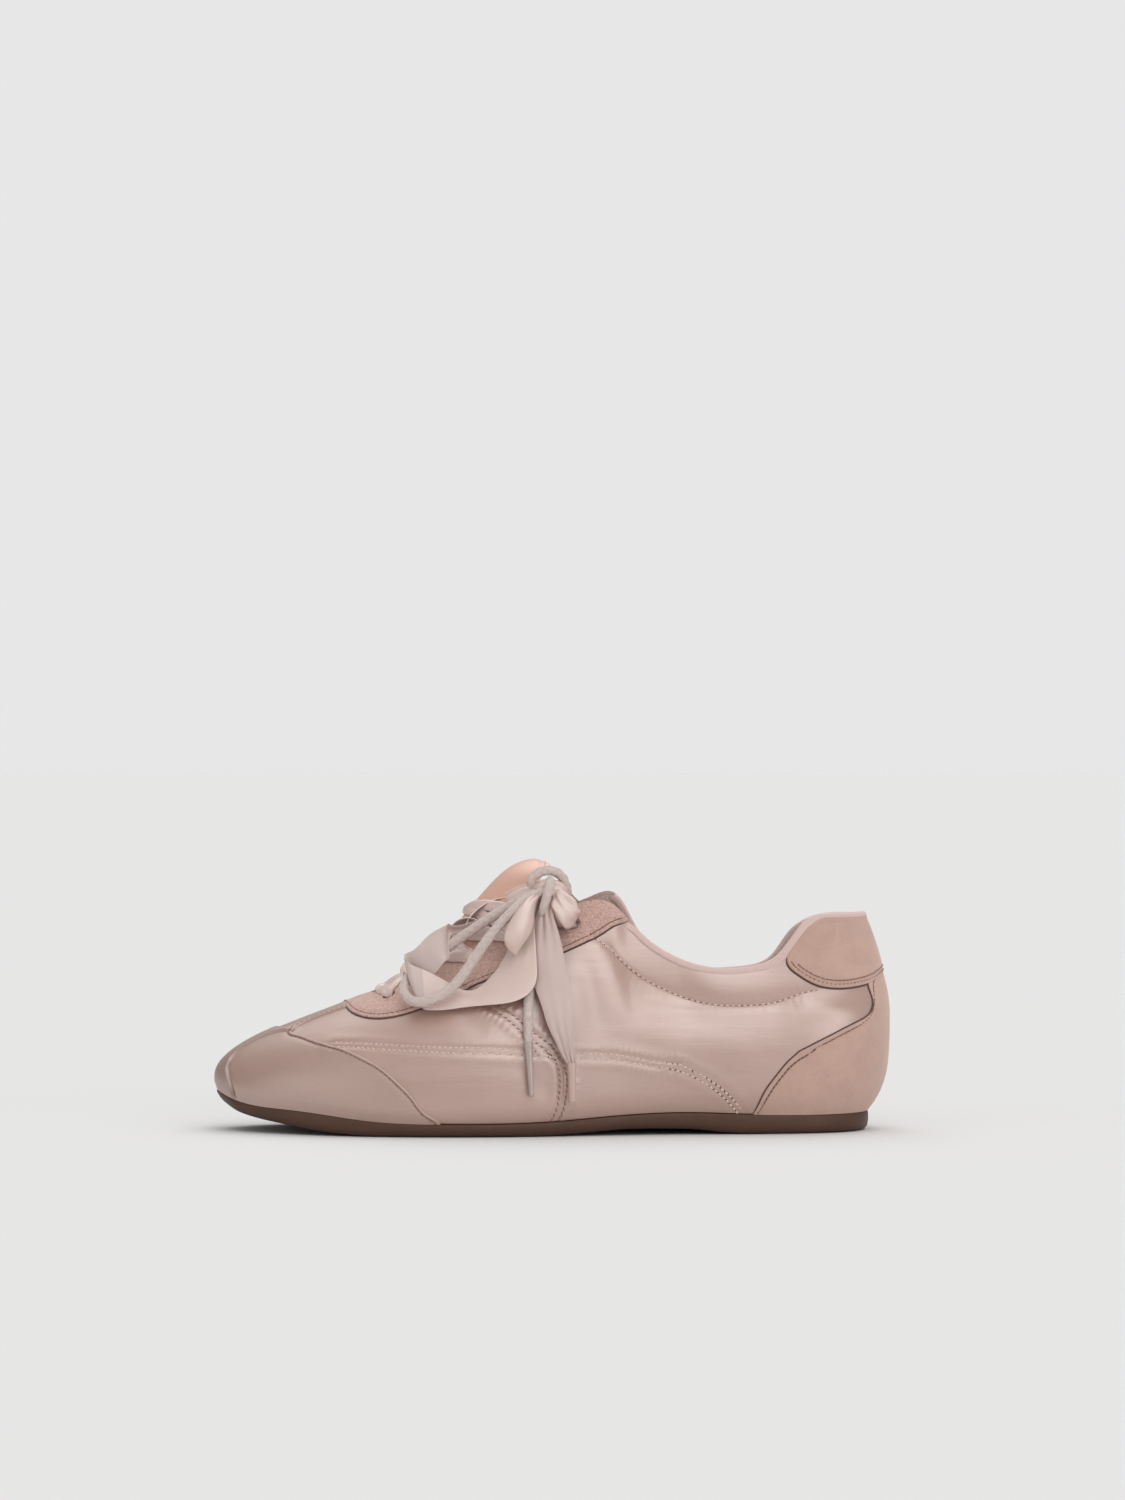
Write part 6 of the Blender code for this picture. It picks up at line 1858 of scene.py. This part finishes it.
# ------------------------------------------------------------------ crossings of the ribbon
def cad_tree(*names):
    verts, faces = [], []
    for name in names:
        mesh = bpy.data.objects[name].data
        base = len(verts)
        verts += [v.co for v in mesh.vertices]
        faces += [[base + i for i in f.vertices] for f in mesh.polygons]
    return BVHTree.FromPolygons(verts, faces)


def clear_of(tree, p, distance):
    near, face, _, _ = tree.find_nearest(Vector(world(p)))
    off = (np.array(world(p)) - np.array(near)) / MM
    gap = np.linalg.norm(off)
    away = np.array(face)
    if np.dot(off, away) > 0 and gap > 1e-6:
        away = off / gap
        return (p, away) if gap >= distance else (p + away * (distance - gap), away)
    return p + away * (distance + gap), away


FRONT_BAR = (-64.0, 0.5)
CROSSINGS = [(-55.0, 0.6, 1.3), (-50.5, 0.25, 1.0), (-41.5, 0.25, 1.0), (-32.5, 0.25, 1.0)]
BAR_WIDTHS = [9.5, 8.5, 6.5, 4.5]
# edges of the two slack turns: the one nearer the viewer, then the one against the tongue
SLACK_LOW = [
    (-41.2, -20.5, 69.5, -39.6, -17.6, 69.8),
    (-41.0, -20.0, 74.8, -39.2, -16.6, 73.6),
    (-39.0, -18.2, 78.6, -37.8, -14.2, 76.8),
    (-35.4, -16.0, 80.8, -34.8, -12.0, 78.4),
    (-31.2, -14.6, 80.8, -31.0, -10.8, 78.2),
    (-27.0, -14.4, 78.4, -27.2, -11.0, 76.0),
]
SLACK_HIGH = [
    (-34.6, -16.6, 74.4, -33.2, -13.0, 74.6),
    (-33.4, -15.0, 79.4, -31.8, -11.4, 78.4),
    (-30.6, -13.6, 83.2, -29.4, -10.0, 81.6),
    (-26.6, -12.6, 86.2, -25.8, -9.0, 84.2),
    (-21.8, -12.6, 88.2, -21.2, -9.0, 86.0),
    (-16.2, -14.6, 88.8, -16.0, -11.0, 86.4),
    (-10.6, -18.6, 88.6, -10.8, -15.0, 86.4),
]
BAR_STATIONS = 20


def over_tongue(x, clear):
    steps = np.linspace(0.0, tongue_length, 300)
    s = float(steps[int(np.argmin(np.abs(tongue_curve(steps)[:, 0] - x)))])
    c = tongue_curve(s)
    d = unit((tongue_curve(min(s + 0.5, tongue_length)) - tongue_curve(max(s - 0.5, 0.0)))[:2])
    away = np.array([-d[1], 0.0, d[0]])
    return np.array([c[0], TONGUE_MID, c[1]]) + away * clear, away


def lace_bar(soup, tree, start, end, over, lift, seed, loose=0.0, width=11.0, g=1.0):
    """One pass of the ribbon: up out of an eyelet, flat over the tongue, down into the other."""
    (pa, na), (pb, nb) = start, end
    clear = 0.85 + 0.55 * lift
    a, b = pa + na * clear, pb + nb * clear
    middle, away = over_tongue(over, clear)
    half = BAR_STATIONS // 2
    pts = []
    for i in range(BAR_STATIONS + 1):
        t = i / BAR_STATIONS
        bow = a * (1 - t) ** 2 + b * t ** 2 + 2 * t * (1 - t) * (2 * middle - 0.5 * (a + b))
        pts.append(bow + away * 5.0 * math.sin(math.pi * t))
    pts[0], pts[half], pts[-1] = a, middle, b
    ups = [na] * len(pts)
    for turn in range(200):
        fresh = list(pts)
        for i in range(1, BAR_STATIONS):
            if i != half:
                fresh[i], ups[i] = clear_of(tree, 0.5 * (pts[i - 1] + pts[i + 1]), clear)
        pts = fresh
    ups[0], ups[half], ups[-1] = na, away, nb
    pts = [q + loose * math.sin(math.pi * i / BAR_STATIONS) ** 1.0 * np.array(u) for i, (q, u) in enumerate(zip(pts, ups))]
    run_a, run_b = unit(pts[1] - pts[0]), unit(pts[-2] - pts[-1])
    full = [pa - na * 2.4 + run_a * 0.5, pa - na * 0.7 + run_a * 0.6, pa + na * 0.7 + run_a * 1.3, pa + na * clear + run_a * 2.4] + pts[1:-1] \
        + [pb + nb * clear + run_b * 2.4, pb + nb * 0.7 + run_b * 1.3, pb - nb * 0.7 + run_b * 0.6, pb - nb * 2.4 + run_b * 0.5]
    up_a, up_b = unit(na * 0.25 - run_a), unit(nb * 0.25 - run_b)
    fu = [up_a, up_a, unit(up_a + na * 0.5), unit(na + up_a * 0.35)] + list(ups[1:-1]) \
        + [unit(nb + up_b * 0.35), unit(up_b + nb * 0.5), up_b, up_b]
    rows = np.concatenate([np.array(full), np.array(fu)], 1)
    d = along(rows[:, :3])
    f = open_spline(d, rows[:, :3])
    q = np.linspace(0, d[-1], 120)
    path = np.stack([np.interp(q, d, rows[:, i]) for i in range(3)], 1)
    path = eased(0.5 * f(q) + 0.5 * path, d[-1] / 119, 0.9)
    up = unit(eased(np.stack([np.interp(q, d, rows[:, 3 + i]) for i in range(3)], 1), d[-1] / 119, 1.2))
    bunch(soup, path, up,
          profile((0, 3.4 * g), (0.045, 3.9 * g), (0.085, 5.4 * g), (0.15, 0.80 * width), (0.27, 0.95 * width), (0.5, width),
                  (0.73, 0.95 * width), (0.85, 0.80 * width), (0.915, 5.4 * g), (0.955, 3.9 * g), (1, 3.4 * g)),
          profile((0, 1.9 * g), (0.045, 2.1 * g), (0.085, 1.9 * g), (0.15, 1.35), (0.27, 1.05), (0.5, 0.95), (0.73, 1.05),
                  (0.85, 1.35), (0.915, 1.9 * g), (0.955, 2.1 * g), (1, 1.9 * g)),
          0, 0.12, 3, 52, seed=seed, power=0.7, twist=0.012, curve=0.5)


eyelet_frames = {}
for side, k, u, t in EYELET_SPOTS:
    p, _, _, n = last.frame(u, t)
    eyelet_frames[(side, k)] = (p, n)
tree = cad_tree("upper", "tongue")
soup = Soup()
lace_bar(soup, tree, eyelet_frames[(-1, 0)], eyelet_frames[(1, 0)], *FRONT_BAR, 0.3, 0.0, 7.0, 0.72)
for k, (ridge_x, lower_lift, upper_lift) in enumerate(CROSSINGS):
    lace_bar(soup, tree, eyelet_frames[(-1, k)], eyelet_frames[(1, k + 1)], ridge_x, lower_lift, 1.0 + k, 0.0, BAR_WIDTHS[k],
             0.80 if k == 0 else 1.0)
    lace_bar(soup, tree, eyelet_frames[(1, k)], eyelet_frames[(-1, k + 1)], ridge_x, upper_lift, 2.3 + k, 0.0, BAR_WIDTHS[k])
# two slack turns that stand off the tongue on the near side
strip(soup, SLACK_LOW, 10, 0.5, 0.5, (0.2, 0.2, 2), (2, 1), seed=7.1, wave=0.15)
strip(soup, SLACK_HIGH, 10, 0.5, 0.5, (0.2, 0.2, 2), (2, 1), seed=8.3, wave=0.15)
bars = soup.make("laces_crossing", [MAT_RIBBON, MAT_RIBBON_BACK_AND_SHADE, MAT_RIBBON_LIT], sharp=70)
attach(bars, "root")
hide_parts("lace_crossings")
# ------------------------------------------------------------------ floor, sky and lamps
BACKDROP = 0.799


# radiance of the studio: an even base by height, then soft boxes (azimuth, elevation,
# inner and outer angle, strength); azimuth 0 is on the viewer's side, 90 on the toe's
SKY = 1.0
SKY_BASE = [(-1.0, 0.24), (-0.02, 0.25), (0.10, 0.29), (0.3, 0.28), (0.6, 0.38), (0.8, 0.55), (1.0, 0.62)]
SOFT_BOXES = [
    (-16.0, 31.0, 4.0, 31.0, 1.60),
    (-46.0, -1.0, 4.0, 26.0, 2.70),
    (53.0, 9.0, 6.0, 36.0, 0.75),
    (190.0, 62.0, 10.0, 44.0, 1.40),
    (-95.0, 25.0, 6.0, 30.0, 0.20),
]
LAMPS = [("key", -10.0, 56.0, 0.30, 40.0, (1.0, 0.99, 0.98))]


def direction(azimuth, elevation):
    a, e = math.radians(azimuth), math.radians(elevation)
    return Vector((-math.sin(a) * math.cos(e), -math.cos(a) * math.cos(e), math.sin(e)))


def lit_floor():
    """Irradiance on the level floor from the sky table and the lamps."""
    z, a = np.meshgrid((np.arange(240) + 0.5) / 240, (np.arange(360) + 0.5) * math.pi / 180)
    r = np.sqrt(1 - z * z)
    d = np.stack([r * np.cos(a), r * np.sin(a), z], -1)
    total = np.interp(z, [v[0] for v in SKY_BASE], [v[1] for v in SKY_BASE])
    for azimuth, elevation, inner, outer, strength in SOFT_BOXES:
        lo, hi = math.cos(math.radians(outer)), math.cos(math.radians(inner))
        total = total + strength * smooth(d @ np.array(direction(azimuth, elevation)), lo, hi)
    sky = SKY * float((total * z).mean()) * 2 * math.pi
    return sky + sum(strength * math.sin(math.radians(elevation)) for _, _, elevation, strength, _, _ in LAMPS)


def make_floor():
    """Pale floor, of the shade that makes it look the same as the backdrop behind it."""
    size = 30.0
    mesh = bpy.data.meshes.new("floor")
    mesh.from_pydata([(-size, -size, 0), (size, -size, 0), (size, size, 0), (-size, size, 0)], [], [(0, 1, 2, 3)])
    mat = bpy.data.materials.new("floor")
    mat.use_nodes = True
    shader = mat.node_tree.nodes["Principled BSDF"]
    shade = BACKDROP * math.pi / lit_floor()
    shader.inputs["Base Color"].default_value = (shade, shade, shade, 1)
    shader.inputs["Roughness"].default_value = 1.0
    shader.inputs["Specular IOR Level"].default_value = 0.0
    mesh.materials.append(mat)
    floor = bpy.data.objects.new("floor", mesh)
    bpy.context.scene.collection.objects.link(floor)
    floor.location.z = CAD_BOX[0][2] - 0.0002


def make_sky():
    world_data = bpy.data.worlds.new("studio")
    bpy.context.scene.world = world_data
    world_data.use_nodes = True
    tree = world_data.node_tree
    tree.nodes.clear()
    out = tree.nodes.new("ShaderNodeOutputWorld")
    place = tree.nodes.new("ShaderNodeTexCoord")
    split = tree.nodes.new("ShaderNodeSeparateXYZ")
    tree.links.new(place.outputs["Generated"], split.inputs[0])
    ramp = tree.nodes.new("ShaderNodeFloatCurve")
    half = tree.nodes.new("ShaderNodeMapRange")
    half.inputs["From Min"].default_value = -1.0
    half.inputs["From Max"].default_value = 1.0
    tree.links.new(split.outputs["Z"], half.inputs["Value"])
    tree.links.new(half.outputs["Result"], ramp.inputs["Value"])
    curve = ramp.mapping.curves[0]
    curve.points[0].location = (0.0, SKY_BASE[0][1])
    curve.points[-1].location = (1.0, SKY_BASE[-1][1])
    for z, v in SKY_BASE[1:-1]:
        curve.points.new(0.5 * (z + 1), v)
    ramp.mapping.update()
    total = ramp.outputs["Value"]
    for azimuth, elevation, inner, outer, strength in SOFT_BOXES:
        dot = tree.nodes.new("ShaderNodeVectorMath")
        dot.operation = 'DOT_PRODUCT'
        dot.inputs[1].default_value = direction(azimuth, elevation)
        tree.links.new(place.outputs["Generated"], dot.inputs[0])
        edge = tree.nodes.new("ShaderNodeMapRange")
        edge.interpolation_type = 'SMOOTHSTEP'
        edge.inputs["From Min"].default_value = math.cos(math.radians(outer))
        edge.inputs["From Max"].default_value = math.cos(math.radians(inner))
        edge.inputs["To Max"].default_value = strength
        tree.links.new(dot.outputs["Value"], edge.inputs["Value"])
        add = tree.nodes.new("ShaderNodeMath")
        add.operation = 'ADD'
        tree.links.new(total, add.inputs[0])
        tree.links.new(edge.outputs["Result"], add.inputs[1])
        total = add.outputs[0]
    light = tree.nodes.new("ShaderNodeBackground")
    scale = tree.nodes.new("ShaderNodeMath")
    scale.operation = 'MULTIPLY'
    scale.inputs[1].default_value = SKY
    tree.links.new(total, scale.inputs[0])
    tree.links.new(scale.outputs[0], light.inputs["Strength"])
    light.inputs["Color"].default_value = (1.0, 0.995, 0.99, 1.0)
    seen = tree.nodes.new("ShaderNodeBackground")
    seen.inputs["Color"].default_value = (BACKDROP, BACKDROP, BACKDROP, 1)
    rays = tree.nodes.new("ShaderNodeLightPath")
    mix = tree.nodes.new("ShaderNodeMixShader")
    tree.links.new(rays.outputs["Is Camera Ray"], mix.inputs[0])
    tree.links.new(light.outputs[0], mix.inputs[1])
    tree.links.new(seen.outputs[0], mix.inputs[2])
    tree.links.new(mix.outputs[0], out.inputs["Surface"])
    world_data.cycles.sampling_method = 'MANUAL'
    world_data.cycles.sample_map_resolution = 512


def lamp(name, azimuth, elevation, strength, spread, colour=(1, 1, 1)):
    """A very soft lamp far away; azimuth 0 shines from the viewer's side, 90 from the toe's left."""
    data = bpy.data.lights.new(name, 'SUN')
    data.energy = strength
    data.angle = math.radians(spread)
    data.color = colour
    ob = bpy.data.objects.new(name, data)
    a, e = math.radians(azimuth), math.radians(elevation)
    back = Vector((-math.sin(a) * math.cos(e), -math.cos(a) * math.cos(e), math.sin(e)))
    ob.rotation_mode = 'QUATERNION'
    ob.rotation_quaternion = back.to_track_quat('Z', 'Y')
    bpy.context.scene.collection.objects.link(ob)


make_floor()
make_sky()
for name, azimuth, elevation, strength, spread, colour in LAMPS:
    lamp(name, azimuth, elevation, strength, spread, colour)
view = bpy.context.scene.view_settings
view.view_transform = 'Standard'
view.look = 'None'
view.exposure = 0.0
view.gamma = 1.0
